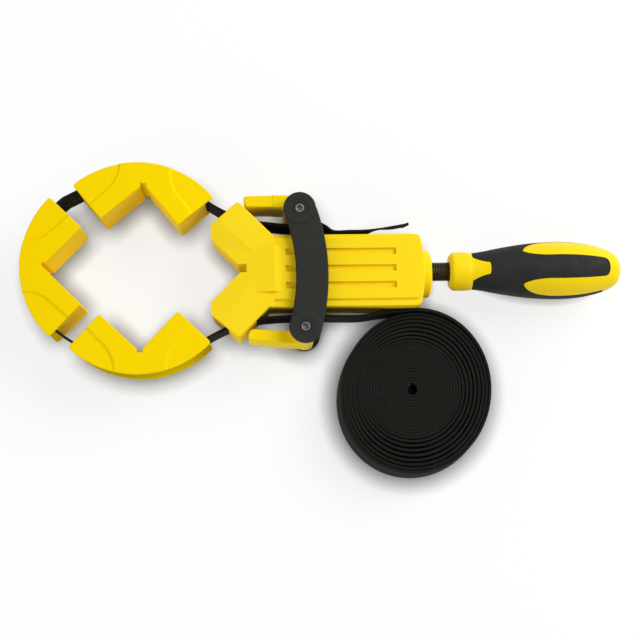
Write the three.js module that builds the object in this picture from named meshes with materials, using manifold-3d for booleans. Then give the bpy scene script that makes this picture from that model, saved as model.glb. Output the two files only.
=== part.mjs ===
// Band clamp: a flat webbing strap loops round three loose corner jaws and a fixed V block. Two cam levers
// grip the strap on a carriage, and a screw handle draws the carriage back along the housing.
// Millimetres, +Z up. The pieces are drawn with X = 0 near the V block's corner, X running to the handle, and
// Y = 0 on the screw's axis. Z = 0 is the table under the lower bridge plate and the strap coil. The whole
// object is then moved along X, so that its origin is the middle of the lower plate's underside.
import * as THREE from 'three';
import { mergeVertices } from 'three/addons/utils/BufferGeometryUtils.js';
import Module from 'manifold-3d';

const wasm = await Module();
wasm.setup();

// Fits and cuts
const seatGap = 0.3; // between faces that seat on each other
const slideGap = 0.5; // between faces that slide past each other
const overrun = 2; // how far a cutting tool runs past the face that it cuts
const roundSteps = 3; // steps in a rounded corner
const turnSteps = 22; // sides of a turned piece
const smallTurnSteps = 16; // sides of a small turned piece

// Webbing strap, standing on edge
const strapWidth = 25;
const strapThickness = 1.1;
const strapPlay = 0.6; // free height above and below the strap in a groove
const strapSeatGap = 0.35; // between the strap and the web that it bends round

// Housing: two moulded shells that meet at the screw's height
const bodyHeight = 32;
const bodyHalfWidth = 19.8;
const bodyFrontX = 18;
const bodyRearX = 98;
const bodyRearBulge = 1.6; // how far the rear face bows out at its middle
const bodyCornerRadius = 4;
const bodyEdge = 0.8;
const bodyWall = 2.8;
const ledgeWidth = 2.9; // a ledge runs along each side, above and below
const ledgeDrop = 7.2; // how far a ledge lies inside the top or bottom face
const partingGap = 0.15; // each shell stops this far from the parting plane
const grooveFrontX = 24.9;
const grooveRearX = 84.8;
const grooveWidth = 3.5;
const grooveDepth = 1.6;
const groovePitch = 9.15;

// V block at the housing's front
const vCornerX = 2.1;
const vFaceLength = 24.7;
const vShoulder = 7; // straight front edge of each arm
const vEndLength = 19.6; // the face through which the strap enters an arm
const vEndAngle = THREE.MathUtils.degToRad(41);
const vBlockRearX = 21.4;
const vEdge = 0.8;
const vReliefWidth = 3.6;
const vReliefDepth = 2.4;
const vBevelWidth = 8.5; // sloped band along the workpiece faces
const vBevelDrop = 2;
const vPadHalfWidth = 12.6; // raised pad between the arms, tilted towards the workpiece
const vPadFrontX = 6;
const vPadRearX = 19;
const vPadRise = 1.2; // at its rear edge

// Rear boss and captive nut
const bossRadius = 12.8;
const bossRearX = 104.6;
const bossDome = 1.4; // how far its rear face bows out
const bossEdge = 1;
const bossShift = 1.4; // its middle lies this far beside the screw's axis, towards -Y
const nutFrontX = 87;
const nutThickness = 9;
const nutRadius = 9.8; // over the corners
const nutBoreGap = 0.35;
const nutWallFrontX = 84;

// Housing screws, driven from below
const screwHeadRadius = 3.1;
const screwHeadHeight = 2.4;
const screwHeadDepth = 4.2; // how far the head's underside sits above the lower face
const screwShankRadius = 1.6;
const screwLength = 21;
const screwFrontX = 15;
const screwFrontY = 9.5;
const screwRearX = 91.5;
const screwRearY = 12.5;

// Loose corner jaws: a quarter ring with a square corner cut in it
const jawRadius = 53.9;
const jawFace = 24.3; // length of an end face, square to the ring
const jawHeight = 32;
const jawNotch = 3.5;
const jawNotchDepth = 2.1;
const jawSeatDepth = 5.6; // how far the strap's web lies under the rim
const jawEdge = 0.6;
const jawTipRadius = 1.3;
const jawCornerRadius = 1.8;
const jawPanelRise = 0.8; // the middle panel stands this much over the ends
const jawPanelEdge = 0.5;
const jawHalfAngle = Math.PI / 4;
// where each jaw's ring has its centre, and which way the jaw faces
const jawPlaces = {
  jaw_top: { x: -55.6, y: 5.6, turn: THREE.MathUtils.degToRad(-5.4) },
  jaw_left: { x: -63.9, y: 2.9, turn: THREE.MathUtils.degToRad(90.3) },
  jaw_bottom: { x: -54.5, y: -2.2, turn: THREE.MathUtils.degToRad(181.4) },
};
// the panel's S-shaped side, as shares of the jaw's radius, from the rim to the end face
const panelSideShares = [[0.25, 0.962], [0.252, 0.845], [0.312, 0.735], [0.425, 0.66], [0.545, 0.62]];

// Carriage: two bridge plates, anvils beside the housing and a crossbar through it
const carriageX = 34; // the crossbar's middle
const carriageTilt = THREE.MathUtils.degToRad(2.1); // the plates' lean about the crossbar's middle
const plateThickness = 5;
const plateBow = 5.6;
const plateBandDrop = 0.6; // the upper plate's middle lies this far under its round ends
const plateHalfWidth = 8.25;
const plateEndRadius = 8.8;
const plateEndSteps = 16;
const plateRecessRadius = 6; // shallow round recess about each rivet
const plateRecessDepth = 0.6;
const plateEdge = 0.7;
const anvilFrontReach = 5.8; // from the crossbar's middle
const anvilRearReach = 10.5;
const anvilThickness = 3.6;
const anvilWallGap = 0.8;
const anvilSpigotRadius = 1.4;
const anvilSpigotHeight = 2;
const anvilSpigotReaches = [-2.4, 7.2]; // along the anvil, from the crossbar's middle
const spigotSteps = 12;
const crossbarWidth = 8;
const crossbarHeight = 12;
const crossbarSeat = 2.2; // how deep each end sits in its anvil
const carriageTravel = 38;

// Rivets through the plates and the cam levers
const rivetRadius = 2;
const rivetHeadRadius = 2.7;
const rivetHeadHeight = 0.9;
const rivetHollowRadius = 1.2;
const rivetHollowDepth = 2;
const pivotGap = 0.3;

// Cam levers
const leverReach = 30.3; // from the pivot to the arm's tip
const leverInner = 2.2; // the arm's inner face, outward from the pivot
const leverOuter = 9;
const leverHeight = 25.5;
const leverHeelReach = 14.5; // up to here the arm has a heel
const leverHeelRise = 0.4; // how far the heel stands over the arm
const leverTipRadius = 1.6;
const leverInnerTipRadius = 3.4;
const leverEdge = 0.8;
const camRadius = 6.45; // where the closed cam faces the strap
const camGap = 0.15; // between the closed cam and the strap
const camLowRadius = 5.2;
const hubOuterRadius = 8.6;
const camToothDepth = 0.35;
const camToothPitch = THREE.MathUtils.degToRad(16);
const camSteps = 72;
const lowerLeverTurn = THREE.MathUtils.degToRad(-5); // the lower lever lies a little towards the housing

// Spindle
const spindleRadius = 5.2;
const journalRadius = 3.5;
const journalFrontX = 25;
const clipThickness = 1.2;
const clipRadius = 5.6;
const clipGrooveDepth = 0.6;
const washerThickness = 1.2;
const washerRadius = 6.6;
const spindleEndX = 146;
const spindleEdge = 0.8;

// Handle: a yellow core with a black grip moulded over it
const handleFrontX = 115.2;
const handleEndX = 210.5;
const gripFrontX = 127.6;
const gripEndX = 202.4;
const gripThickness = 2.4;
const gripGap = 0.15; // half of the joint between the grip and the core
const handleSteps = 18;
// profile of the handle: [share of its length, radius]
const handleProfile = [
  [0, 8.6], [0.012, 10], [0.03, 10.6], [0.1, 10.6], [0.13, 9.9], [0.19, 10.9], [0.26, 12.2], [0.35, 13.7],
  [0.45, 15], [0.55, 15.7], [0.64, 15.9], [0.74, 15.3], [0.83, 13.8], [0.9, 11.9], [0.95, 9.6], [0.98, 7],
  [0.995, 3.8],
];
const gripUnrollRadius = 14; // the radius at which the window outlines are drawn
const windowFrontX = 154.5;
const windowTopHalf = 5.9; // half width of the grip's tongue on top, round the surface
const windowSideHalf = 3.4; // half width of the grip's tongue at the side
const windowTipHandle = 1.2; // how blunt a window's front tip is
const windowTipShare = 0.55; // how far its edges have spread there
const windowTipShift = 1.8; // the tip lies this far above the window's middle
const tongueRound = 2.4; // rounding at a tongue's end
const tongueEndX = 202.5;
const notchHalfWidth = 4.2;
const notchMouthHalf = 9.5;
const notchDepth = 9.5;

// Strap route, by hand: through the arms, past the anvils, the tail and the lead to the coil
const channelGap = 0.7; // free room on each side of the strap in an arm
const armExitX = 13;
const armExitRise = 1.05; // how far outside the pinch the strap leaves an arm
const jawHandle = 9; // how far the strap keeps its direction where it bends round a jaw's end
const jawLiftHandle = 1.5; // the same where it lifts off a jaw
const armEntryHandle = 9;
const armExitHandle = 12;
// each route is a row of [x, distance from the housing's side]
const tailRoute = [[46.6, 4.4], [51, 1.4], [60, 1.3], [71, 1.5], [82, 3], [92, 4.8]];
const leadRoute = [[46.6, 5.4], [56, 5.7], [66, 5.3], [77, 3.4], [86.5, 2.4]];
const tailLean = THREE.MathUtils.degToRad(11.5); // the tail's lower edge swings out
const tailLeanFromX = 58;
const tailLeanToX = 72;
const leadEndDrop = 6.4; // how far the strap has come down where the lead ends

// Coil: loops of the same strap, loose over the last turns
const coilStartX = 87.33; // where the lead runs into the coil
const coilStandOff = 2.47; // distance of that place from the housing's side
const coilLoops = 23;
const coilStepsPerLoop = 23;
const coilEyeRadius = 2.8;
const coilOuterRadius = 39.3;
const coilStartAngle = THREE.MathUtils.degToRad(97);
const coilLooseTurns = 3.6; // the outer turns are loose
const coilLooseLift = 4.45; // how far the outermost turn stands off on average
const coilSideLift = 2.95; // how much more on its loosest side
const coilSideAngle = THREE.MathUtils.degToRad(-46);
const coilOvalLift = 1.73; // how much more on two opposite sides
const coilOvalAngle = THREE.MathUtils.degToRad(-103);
const coilLeadRise = 0.7; // where the lead comes in
const coilLeadTurns = 0.48;
const coilSettleTurns = 0.3;

// Places worked out from the sizes
const midZ = plateThickness + slideGap + bodyHeight / 2;
const plateTopZ = 2 * midZ;
const grooveHalfHeight = strapWidth / 2 + strapPlay;
const jawStrapRadius = jawRadius - jawSeatDepth + strapSeatGap + strapThickness / 2;
const panelHalfWidth = bodyHalfWidth - ledgeWidth;
const anvilInner = bodyHalfWidth + anvilWallGap;
const anvilOuter = anvilInner + anvilThickness;
const pinchOffset = anvilOuter + seatGap + strapThickness / 2;
const plateHalfSpan = pinchOffset + strapThickness / 2 + camGap + camRadius; // from the middle to each pivot
const armExitY = pinchOffset + armExitRise;
const runEndX = carriageX - anvilFrontReach - seatGap; // where the stretch that lengthens ends
const crossbarHalfLength = anvilInner + crossbarSeat;
const shoulderX = carriageX + crossbarWidth / 2 + washerThickness + 2 * seatGap;

// Materials
const finish = (color, roughness, metalness) => new THREE.MeshStandardMaterial({ color, roughness, metalness });
const yellow = () => finish(0xfcdb15, 0.45, 0);
const black = () => finish(0x32322e, 0.55, 0);
const rubber = () => finish(0x2b2b27, 0.8, 0);
const webbing = () => finish(0x1c1b18, 0.9, 0);
const steel = () => finish(0x9a9a98, 0.35, 1);
const darkSteel = () => finish(0x35321f, 0.5, 1);

// Solids and meshes
function toSolid(geometry) {
  const bare = geometry.clone();
  bare.deleteAttribute('normal');
  bare.deleteAttribute('uv');
  const merged = mergeVertices(bare);
  return new wasm.Manifold(new wasm.Mesh({
    numProp: 3,
    vertProperties: new Float32Array(merged.attributes.position.array),
    triVerts: new Uint32Array(merged.index.array),
  }));
}

function toGeometry(solid) {
  const { numProp, vertProperties, triVerts } = solid.getMesh();
  const positions = new Float32Array((vertProperties.length / numProp) * 3);
  for (let v = 0; v < positions.length / 3; v += 1) {
    for (let axis = 0; axis < 3; axis += 1) positions[3 * v + axis] = vertProperties[numProp * v + axis];
  }
  const geometry = new THREE.BufferGeometry();
  geometry.setAttribute('position', new THREE.BufferAttribute(positions, 3));
  geometry.setIndex(new THREE.BufferAttribute(new Uint32Array(triVerts), 1));
  geometry.computeVertexNormals();
  return geometry;
}

const cut = (solid, ...tools) => tools.reduce((left, tool) => left.subtract(tool), solid);
const join = (solid, ...others) => others.reduce((whole, other) => whole.add(other), solid);

const model = new THREE.Group();
model.position.x = -(carriageX + plateBow);

function place(name, form, material, parent = model) {
  const geometry = form.isBufferGeometry ? form : toGeometry(form);
  const mesh = new THREE.Mesh(geometry, material);
  mesh.name = name;
  parent.add(mesh);
  return mesh;
}

// Outlines
const vec = (x, y) => new THREE.Vector2(x, y);
const polar = (radius, angle) => vec(radius * Math.cos(angle), radius * Math.sin(angle));
const flipY = (points) => points.map((p) => vec(p.x, -p.y)).reverse();
const flipX = (points) => points.map((p) => vec(-p.x, p.y)).reverse();

function arcPoints(radius, from, to, steps) {
  return Array.from({ length: steps + 1 }, (_, i) => polar(radius, from + ((to - from) * i) / steps));
}

// a corner drawn as a short curve between its two sides
function rounded(before, corner, after, radius) {
  const start = corner.clone().add(before.clone().sub(corner).setLength(radius));
  const end = corner.clone().add(after.clone().sub(corner).setLength(radius));
  return new THREE.QuadraticBezierCurve(start, corner, end).getPoints(roundSteps);
}

function roundedOutline(corners) {
  return corners.flatMap(([point, radius], i) => {
    if (!radius) return [point];
    const before = corners[(i + corners.length - 1) % corners.length][0];
    const after = corners[(i + 1) % corners.length][0];
    return rounded(before, point, after, radius);
  });
}

// a slab between two heights, with its long edges bevelled
function slab(points, low, high, edge = 0) {
  const geometry = new THREE.ExtrudeGeometry(new THREE.Shape(points), {
    depth: high - low - 2 * edge,
    bevelEnabled: edge > 0,
    bevelThickness: edge,
    bevelSize: edge,
    bevelOffset: -edge,
    bevelSegments: edge > 1 ? 2 : 1,
  });
  geometry.translate(0, 0, low + edge);
  return toSolid(geometry);
}

function box(lowX, highX, lowY, highY, lowZ, highZ) {
  const geometry = new THREE.BoxGeometry(highX - lowX, highY - lowY, highZ - lowZ);
  geometry.translate((lowX + highX) / 2, (lowY + highY) / 2, (lowZ + highZ) / 2);
  return toSolid(geometry);
}

// a turned solid on the screw's axis, from a profile of [x, radius]
function turnedX(profile, steps = turnSteps) {
  const points = profile.map(([x, radius]) => vec(radius, x));
  const geometry = new THREE.LatheGeometry(points, steps);
  geometry.rotateZ(-Math.PI / 2);
  geometry.translate(0, 0, midZ);
  return toSolid(geometry);
}

function rodX(radius, lowX, highX, steps = turnSteps) {
  return turnedX([[lowX, 0], [lowX, radius], [highX, radius], [highX, 0]], steps);
}

function rodZ(radius, x, y, lowZ, highZ, steps = smallTurnSteps) {
  const geometry = new THREE.CylinderGeometry(radius, radius, highZ - lowZ, steps);
  geometry.rotateX(Math.PI / 2);
  geometry.translate(x, y, (lowZ + highZ) / 2);
  return toSolid(geometry);
}

// the strap, or a slot for it, along stations that give the place of its middle; the leans tell how far it
// leans over at each station
function band(stations, thickness, width, leans = []) {
  const positions = [];
  const index = [];
  const last = stations.length - 1;
  stations.forEach((station, i) => {
    const before = stations[Math.max(i - 1, 0)];
    const after = stations[Math.min(i + 1, last)];
    const along = vec(after.x - before.x, after.y - before.y).normalize();
    const lean = leans[i] ?? 0;
    for (const [side, rise] of [[1, -1], [-1, -1], [-1, 1], [1, 1]]) {
      const aside = (side * thickness * Math.cos(lean) - rise * width * Math.sin(lean)) / 2;
      const up = (side * thickness * Math.sin(lean) + rise * width * Math.cos(lean)) / 2;
      positions.push(station.x - along.y * aside, station.y + along.x * aside, station.z + up);
    }
  });
  for (let i = 0; i < last; i += 1) {
    for (let k = 0; k < 4; k += 1) {
      const a = 4 * i + k;
      const b = 4 * i + ((k + 1) % 4);
      index.push(a, a + 4, b + 4, a, b + 4, b);
    }
  }
  index.push(0, 1, 2, 0, 2, 3, 4 * last, 4 * last + 2, 4 * last + 1, 4 * last, 4 * last + 3, 4 * last + 2);
  const geometry = new THREE.BufferGeometry();
  geometry.setAttribute('position', new THREE.Float32BufferAttribute(positions, 3));
  geometry.setIndex(index);
  geometry.computeVertexNormals();
  return geometry;
}

const station = (point, z = midZ) => new THREE.Vector3(point.x, point.y, z);

// Strap route in plan
const jawAxisAngle = (jaw) => Math.PI / 2 + jaw.turn;

function jawPoint(jaw, angle) {
  return polar(jawStrapRadius, angle).add(vec(jaw.x, jaw.y));
}

// a stretch between two places that keeps the direction of both ends
function link(start, startWay, end, endWay, startHandle, endHandle, steps = 6) {
  const curve = new THREE.CubicBezierCurve(
    start,
    start.clone().addScaledVector(startWay, startHandle),
    end.clone().addScaledVector(endWay, -endHandle),
    end,
  );
  return curve.getPoints(steps);
}

// from the jaw that lies next to the block into its arm, ending where the strap leaves the arm
function armStretch(jaw, side) {
  const angle = jawAxisAngle(jaw) - side * jawHalfAngle;
  const start = jawPoint(jaw, angle);
  const startWay = vec(side * Math.sin(angle), -side * Math.cos(angle));
  const end = vec(armExitX, side * armExitY);
  const endWay = vec(1, -side * armExitSlope).normalize();
  return link(start, startWay, end, endWay, armEntryHandle, armExitHandle, 10);
}

const armExitSlope = (armExitY - pinchOffset) / (runEndX - armExitX);
const upperArm = armStretch(jawPlaces.jaw_top, 1);
const lowerArm = armStretch(jawPlaces.jaw_bottom, -1);

function jawArc(jaw) {
  const middle = jawAxisAngle(jaw);
  return arcPoints(jawStrapRadius, middle - jawHalfAngle, middle + jawHalfAngle, 10)
    .map((point) => point.add(vec(jaw.x, jaw.y)));
}

function jawLink(from, to, startHandle, endHandle) {
  const startAngle = jawAxisAngle(from) + jawHalfAngle;
  const endAngle = jawAxisAngle(to) - jawHalfAngle;
  const way = (angle) => vec(-Math.sin(angle), Math.cos(angle));
  const stretch = link(
    jawPoint(from, startAngle),
    way(startAngle),
    jawPoint(to, endAngle),
    way(endAngle),
    startHandle,
    endHandle,
  );
  return stretch.slice(1, -1);
}

const { jaw_top: topJaw, jaw_left: leftJaw, jaw_bottom: bottomJaw } = jawPlaces;
const loopRoute = [
  ...[...upperArm].reverse().slice(0, -1),
  ...jawArc(topJaw),
  ...jawLink(topJaw, leftJaw, jawLiftHandle, jawHandle),
  ...jawArc(leftJaw),
  ...jawLink(leftJaw, bottomJaw, jawHandle, jawLiftHandle),
  ...jawArc(bottomJaw),
  ...lowerArm.slice(1),
];

// Jaws
function jawOutline() {
  const tip = (jawRadius - jawFace) * Math.cos(jawHalfAngle);
  const corner = jawRadius * Math.cos(jawHalfAngle);
  const apex = 2 * tip - jawNotch / 2;
  const rim = arcPoints(jawRadius, jawHalfAngle, Math.PI - jawHalfAngle, 14).slice(1, -1);
  const right = [
    [vec(tip, tip), jawTipRadius],
    [vec(corner, corner), jawCornerRadius],
  ];
  const left = right.map(([point, radius]) => [vec(-point.x, point.y), radius]).reverse();
  const notch = [
    [vec(-jawNotch / 2, apex), 0],
    [vec(-jawNotch / 2, apex + jawNotchDepth), 0],
    [vec(jawNotch / 2, apex + jawNotchDepth), 0],
    [vec(jawNotch / 2, apex), 0],
  ];
  return roundedOutline([...right, ...rim.map((point) => [point, 0]), ...left, ...notch]);
}

function jawPanelOutline() {
  const tip = (jawRadius - jawFace) * Math.cos(jawHalfAngle);
  const apex = 2 * tip - jawNotch / 2;
  const side = new THREE.SplineCurve(panelSideShares.map(([x, y]) => vec(x * jawRadius, y * jawRadius)));
  const [rimShareX, rimShareY] = panelSideShares[0];
  const rimAngle = Math.atan2(rimShareY, rimShareX);
  const sidePoints = side.getPoints(7).reverse();
  const rim = arcPoints(Math.hypot(rimShareX, rimShareY) * jawRadius, rimAngle, Math.PI - rimAngle, 6);
  const right = [vec(tip, tip).addScalar(jawTipRadius / 2), ...sidePoints];
  const notch = [
    vec(-jawNotch / 2, apex),
    vec(-jawNotch / 2, apex + jawNotchDepth),
    vec(jawNotch / 2, apex + jawNotchDepth),
    vec(jawNotch / 2, apex),
  ];
  return [...right, ...rim.slice(1, -1), ...flipX(right), ...notch];
}

function jawSolid() {
  const low = midZ - jawHeight / 2;
  const high = midZ + jawHeight / 2;
  const base = slab(jawOutline(), low + jawPanelRise, high - jawPanelRise, jawEdge);
  const panel = slab(jawPanelOutline(), low, high, jawPanelEdge);
  const ring = arcPoints(jawRadius + overrun, 0, 2 * Math.PI, 24).slice(1);
  const outer = slab(ring, midZ - grooveHalfHeight, midZ + grooveHalfHeight);
  const web = arcPoints(jawRadius - jawSeatDepth, 0, 2 * Math.PI, 72).slice(1);
  const core = slab(web, midZ - grooveHalfHeight - overrun, midZ + grooveHalfHeight + overrun);
  return cut(join(base, panel), cut(outer, core));
}

function addJaws() {
  for (const [name, jaw] of Object.entries(jawPlaces)) {
    const group = new THREE.Group();
    group.position.set(jaw.x, jaw.y, 0);
    group.rotation.z = jaw.turn;
    model.add(group);
    place(name, jawSolid(), yellow(), group);
  }
}

// Housing
function vBlockHalf() {
  const corner = vec(vCornerX, 0);
  const face = corner.clone().add(polar(vFaceLength, 3 * Math.PI / 4));
  const shoulder = face.clone().add(vec(0, vShoulder));
  const tip = shoulder.clone().add(polar(vEndLength, vEndAngle));
  const rear = vec(tip.x + tip.y - bodyHalfWidth, bodyHalfWidth);
  return { face, shoulder, tip, rear };
}

function vBlockOutline() {
  const { face, shoulder, tip, rear } = vBlockHalf();
  const upper = [
    [vec(vCornerX, 0), 0],
    [face, jawCornerRadius],
    [shoulder, jawCornerRadius],
    [tip, jawCornerRadius],
    [rear, 0],
    [vec(vBlockRearX, bodyHalfWidth), 0],
  ];
  const lower = upper.slice(1).map(([point, radius]) => [vec(point.x, -point.y), radius]).reverse();
  return roundedOutline([...upper, ...lower].reverse());
}

function bodyOutline(halfWidth) {
  const front = vec(bodyFrontX, halfWidth);
  const side = [front, ...rounded(front, vec(bodyRearX, halfWidth), vec(bodyRearX, 0), bodyCornerRadius)];
  const bulge = new THREE.QuadraticBezierCurve(
    side.at(-1),
    vec(bodyRearX + 2 * bodyRearBulge, 0),
    vec(side.at(-1).x, -side.at(-1).y),
  );
  return [...side, ...bulge.getPoints(8).slice(1, -1), ...flipY(side)].reverse();
}

// a wedge over a sloped face: it is cut along a line and drops square to that line
function wedge(from, to, width, drop, baseZ, up) {
  const along = to.clone().sub(from);
  const length = along.length();
  const tall = overrun * up;
  const deep = -drop * up;
  const far = width + overrun;
  const profile = [vec(0, 0), vec(width, deep), vec(far, deep), vec(far, tall), vec(0, tall)];
  const shape = new THREE.Shape(up > 0 ? profile : profile.reverse());
  const geometry = new THREE.ExtrudeGeometry(shape, { depth: length, bevelEnabled: false });
  // the profile's x runs across the line, its y is height, and its depth runs along the line
  const alongWay = along.clone().normalize();
  const across = vec(-alongWay.y, alongWay.x);
  const matrix = new THREE.Matrix4().makeBasis(
    new THREE.Vector3(across.x, across.y, 0),
    new THREE.Vector3(0, 0, 1),
    new THREE.Vector3(alongWay.x, alongWay.y, 0),
  );
  geometry.applyMatrix4(matrix);
  geometry.translate(from.x, from.y, baseZ);
  return toSolid(geometry);
}

function frontSlopes(baseZ, up) {
  const { face } = vBlockHalf();
  const inward = polar(vBevelWidth, Math.PI / 4);
  const farPoint = face.clone().add(polar(vShoulder, 3 * Math.PI / 4)).add(inward);
  const nearPoint = vec(vCornerX, 0).add(polar(vBevelWidth, -3 * Math.PI / 4)).add(inward);
  const upper = wedge(nearPoint.clone(), farPoint, vBevelWidth, vBevelDrop, baseZ, up);
  const flipped = (point) => vec(point.x, -point.y);
  const lower = wedge(flipped(farPoint), flipped(nearPoint), vBevelWidth, vBevelDrop, baseZ, up);
  return [upper, lower];
}

// the raised pad on a face of the block, drawn in side view and drawn out across the block
function padSolid(baseZ, up) {
  const shape = new THREE.Shape([
    vec(vPadFrontX, -vBevelDrop * up),
    vec(vPadRearX, -vBevelDrop * up),
    vec(vPadRearX, vPadRise * up),
    vec(vPadFrontX, 0),
  ]);
  const geometry = new THREE.ExtrudeGeometry(shape, { depth: 2 * vPadHalfWidth, bevelEnabled: false });
  geometry.rotateX(Math.PI / 2);
  geometry.translate(0, vPadHalfWidth, baseZ);
  return toSolid(geometry);
}

function channelTool(route) {
  const before = route[0].clone().multiplyScalar(2).sub(route[1]);
  const beyond = route.at(-1).clone().multiplyScalar(2).sub(route.at(-2));
  const stations = [before, ...route, beyond].map((point) => station(point));
  return toSolid(band(stations, strapThickness + 2 * channelGap, 2 * grooveHalfHeight));
}

function housingSolid() {
  const low = midZ - bodyHeight / 2;
  const high = midZ + bodyHeight / 2;
  const front = slab(vBlockOutline(), low, high, vEdge);
  const sides = slab(bodyOutline(bodyHalfWidth), low + ledgeDrop, high - ledgeDrop, bodyEdge);
  const panel = slab(bodyOutline(panelHalfWidth), low, high, bodyEdge);
  const boss = turnedX([
    [nutFrontX, 0],
    [nutFrontX, bossRadius],
    [bossRearX - bossDome - bossEdge, bossRadius],
    [bossRearX - bossDome, bossRadius - bossEdge],
    [bossRearX - bossDome / 4, bossRadius / 2],
    [bossRearX, 0],
  ]).translate([0, -bossShift, 0]);
  const insideHalf = bodyHeight / 2 - bodyWall;
  const innerWidth = panelHalfWidth - bodyWall;
  const cavityFrontX = journalFrontX - 2 * slideGap - clipThickness;
  const slotHalf = crossbarHeight / 2 + slideGap;
  const slotFrontX = carriageX - crossbarWidth / 2 - overrun;
  const slotRearX = carriageX + carriageTravel + crossbarWidth / 2 + overrun;
  const cavity = box(cavityFrontX, nutWallFrontX, -innerWidth, innerWidth, midZ - insideHalf, midZ + insideHalf);
  const outside = bodyHalfWidth + overrun;
  const sideSlots = box(slotFrontX, slotRearX, -outside, outside, midZ - slotHalf, midZ + slotHalf);
  const relief = box(
    vCornerX - overrun,
    vCornerX + vReliefDepth,
    -vReliefWidth / 2,
    vReliefWidth / 2,
    low - overrun,
    high + overrun,
  );
  const bore = rodX(spindleRadius + slideGap, nutWallFrontX - overrun, bossRearX + overrun);
  const nutPocket = rodX(nutRadius + seatGap, nutFrontX - seatGap, nutFrontX + nutThickness + seatGap, 6);
  const grooves = [-1, 0, 1].flatMap((row) => {
    const lowY = row * groovePitch - grooveWidth / 2;
    const highY = lowY + grooveWidth;
    return [
      box(grooveFrontX, grooveRearX, lowY, highY, high - grooveDepth, high + overrun),
      box(grooveFrontX, grooveRearX, lowY, highY, low - overrun, low + grooveDepth),
    ];
  });
  const sloped = cut(join(front, sides, panel, boss), ...frontSlopes(high, 1), ...frontSlopes(low, -1));
  return cut(
    join(sloped, padSolid(high, 1), padSolid(low, -1)),
    channelTool(upperArm),
    channelTool(lowerArm),
    cavity,
    sideSlots,
    relief,
    bore,
    nutPocket,
    ...grooves,
  );
}

const screwPlaces = [
  [screwFrontX, screwFrontY],
  [screwFrontX, -screwFrontY],
  [screwRearX, screwRearY],
  [screwRearX, -screwRearY],
];

function addHousing() {
  const whole = housingSolid();
  const far = 4 * jawRadius;
  const low = midZ - bodyHeight / 2;
  const headZ = low + screwHeadDepth;
  const upperHalf = box(-far, far, -far, far, midZ + partingGap, midZ + bodyHeight);
  const lowerHalf = box(-far, far, -far, far, midZ - bodyHeight, midZ - partingGap);
  const shanks = screwPlaces.map(([x, y]) => (
    rodZ(screwShankRadius + pivotGap, x, y, headZ - overrun, headZ + screwLength + seatGap)
  ));
  const heads = screwPlaces.map(([x, y]) => (
    rodZ(screwHeadRadius + pivotGap, x, y, low - overrun, headZ + seatGap)
  ));
  place('housing_upper', cut(whole.intersect(upperHalf), ...shanks), yellow());
  place('housing_lower', cut(whole.intersect(lowerHalf), ...shanks, ...heads), yellow());
  screwPlaces.forEach(([x, y], i) => {
    const head = rodZ(screwHeadRadius, x, y, headZ - screwHeadHeight, headZ);
    const shank = rodZ(screwShankRadius, x, y, headZ - screwHeadHeight / 2, headZ + screwLength);
    place(`housing_screw_${i + 1}`, join(head, shank), steel());
  });
  const nut = rodX(nutRadius, nutFrontX, nutFrontX + nutThickness, 6);
  const nutBore = rodX(spindleRadius + nutBoreGap, nutFrontX - overrun, nutFrontX + nutThickness + overrun);
  place('spindle_nut', cut(nut, nutBore), steel());
}

// Carriage, drawn about the crossbar's middle and then tilted with it
function tilted(geometryOrSolid) {
  const geometry = geometryOrSolid.isBufferGeometry ? geometryOrSolid : toGeometry(geometryOrSolid);
  geometry.rotateZ(carriageTilt);
  geometry.translate(carriageX, 0, 0);
  return toSolid(geometry);
}

function tiltedPoint(x, y) {
  return vec(x, y).rotateAround(vec(0, 0), carriageTilt).add(vec(carriageX, 0));
}

function plateBandOutline() {
  const bowRadius = (plateHalfSpan ** 2 + plateBow ** 2) / (2 * plateBow);
  const centreX = plateBow - bowRadius;
  const half = Math.asin(plateHalfSpan / bowRadius);
  const shift = (points) => points.map((point) => point.add(vec(centreX, 0)));
  const outer = shift(arcPoints(bowRadius + plateHalfWidth, -half, half, 12));
  const inner = shift(arcPoints(bowRadius - plateHalfWidth, half, -half, 12));
  const cap = (side) => arcPoints(plateHalfWidth, side > 0 ? half : Math.PI + half - half * 2, side > 0
    ? Math.PI + half : 2 * Math.PI - half, 6).slice(1, -1).map((point) => point.add(vec(0, side * plateHalfSpan)));
  return [...outer, ...cap(1), ...inner, ...cap(-1)];
}

function plateSolid(bandDrop) {
  const anvilY = (anvilInner + anvilOuter) / 2;
  const bandSlab = slab(plateBandOutline(), 0, plateThickness - bandDrop, plateEdge);
  const ends = [-1, 1].map((side) => {
    const points = arcPoints(plateEndRadius, 0, 2 * Math.PI, plateEndSteps).slice(1);
    return slab(points.map((point) => point.add(vec(0, side * plateHalfSpan))), 0, plateThickness, plateEdge);
  });
  const recessZ = plateThickness - plateRecessDepth;
  const holes = [-1, 1].flatMap((side) => [
    rodZ(rivetRadius + pivotGap, 0, side * plateHalfSpan, -overrun, plateThickness + overrun),
    rodZ(plateRecessRadius, 0, side * plateHalfSpan, recessZ, plateThickness + overrun, plateEndSteps),
    rodZ(
      rivetHeadRadius + pivotGap,
      0,
      side * plateHalfSpan,
      recessZ - rivetHeadHeight - pivotGap,
      plateThickness + overrun,
    ),
    ...anvilSpigotReaches.map((reach) => rodZ(
      anvilSpigotRadius + pivotGap,
      reach,
      side * anvilY,
      -overrun,
      anvilSpigotHeight + seatGap,
      spigotSteps,
    )),
  ]);
  return cut(join(bandSlab, ...ends), ...holes);
}

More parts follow.
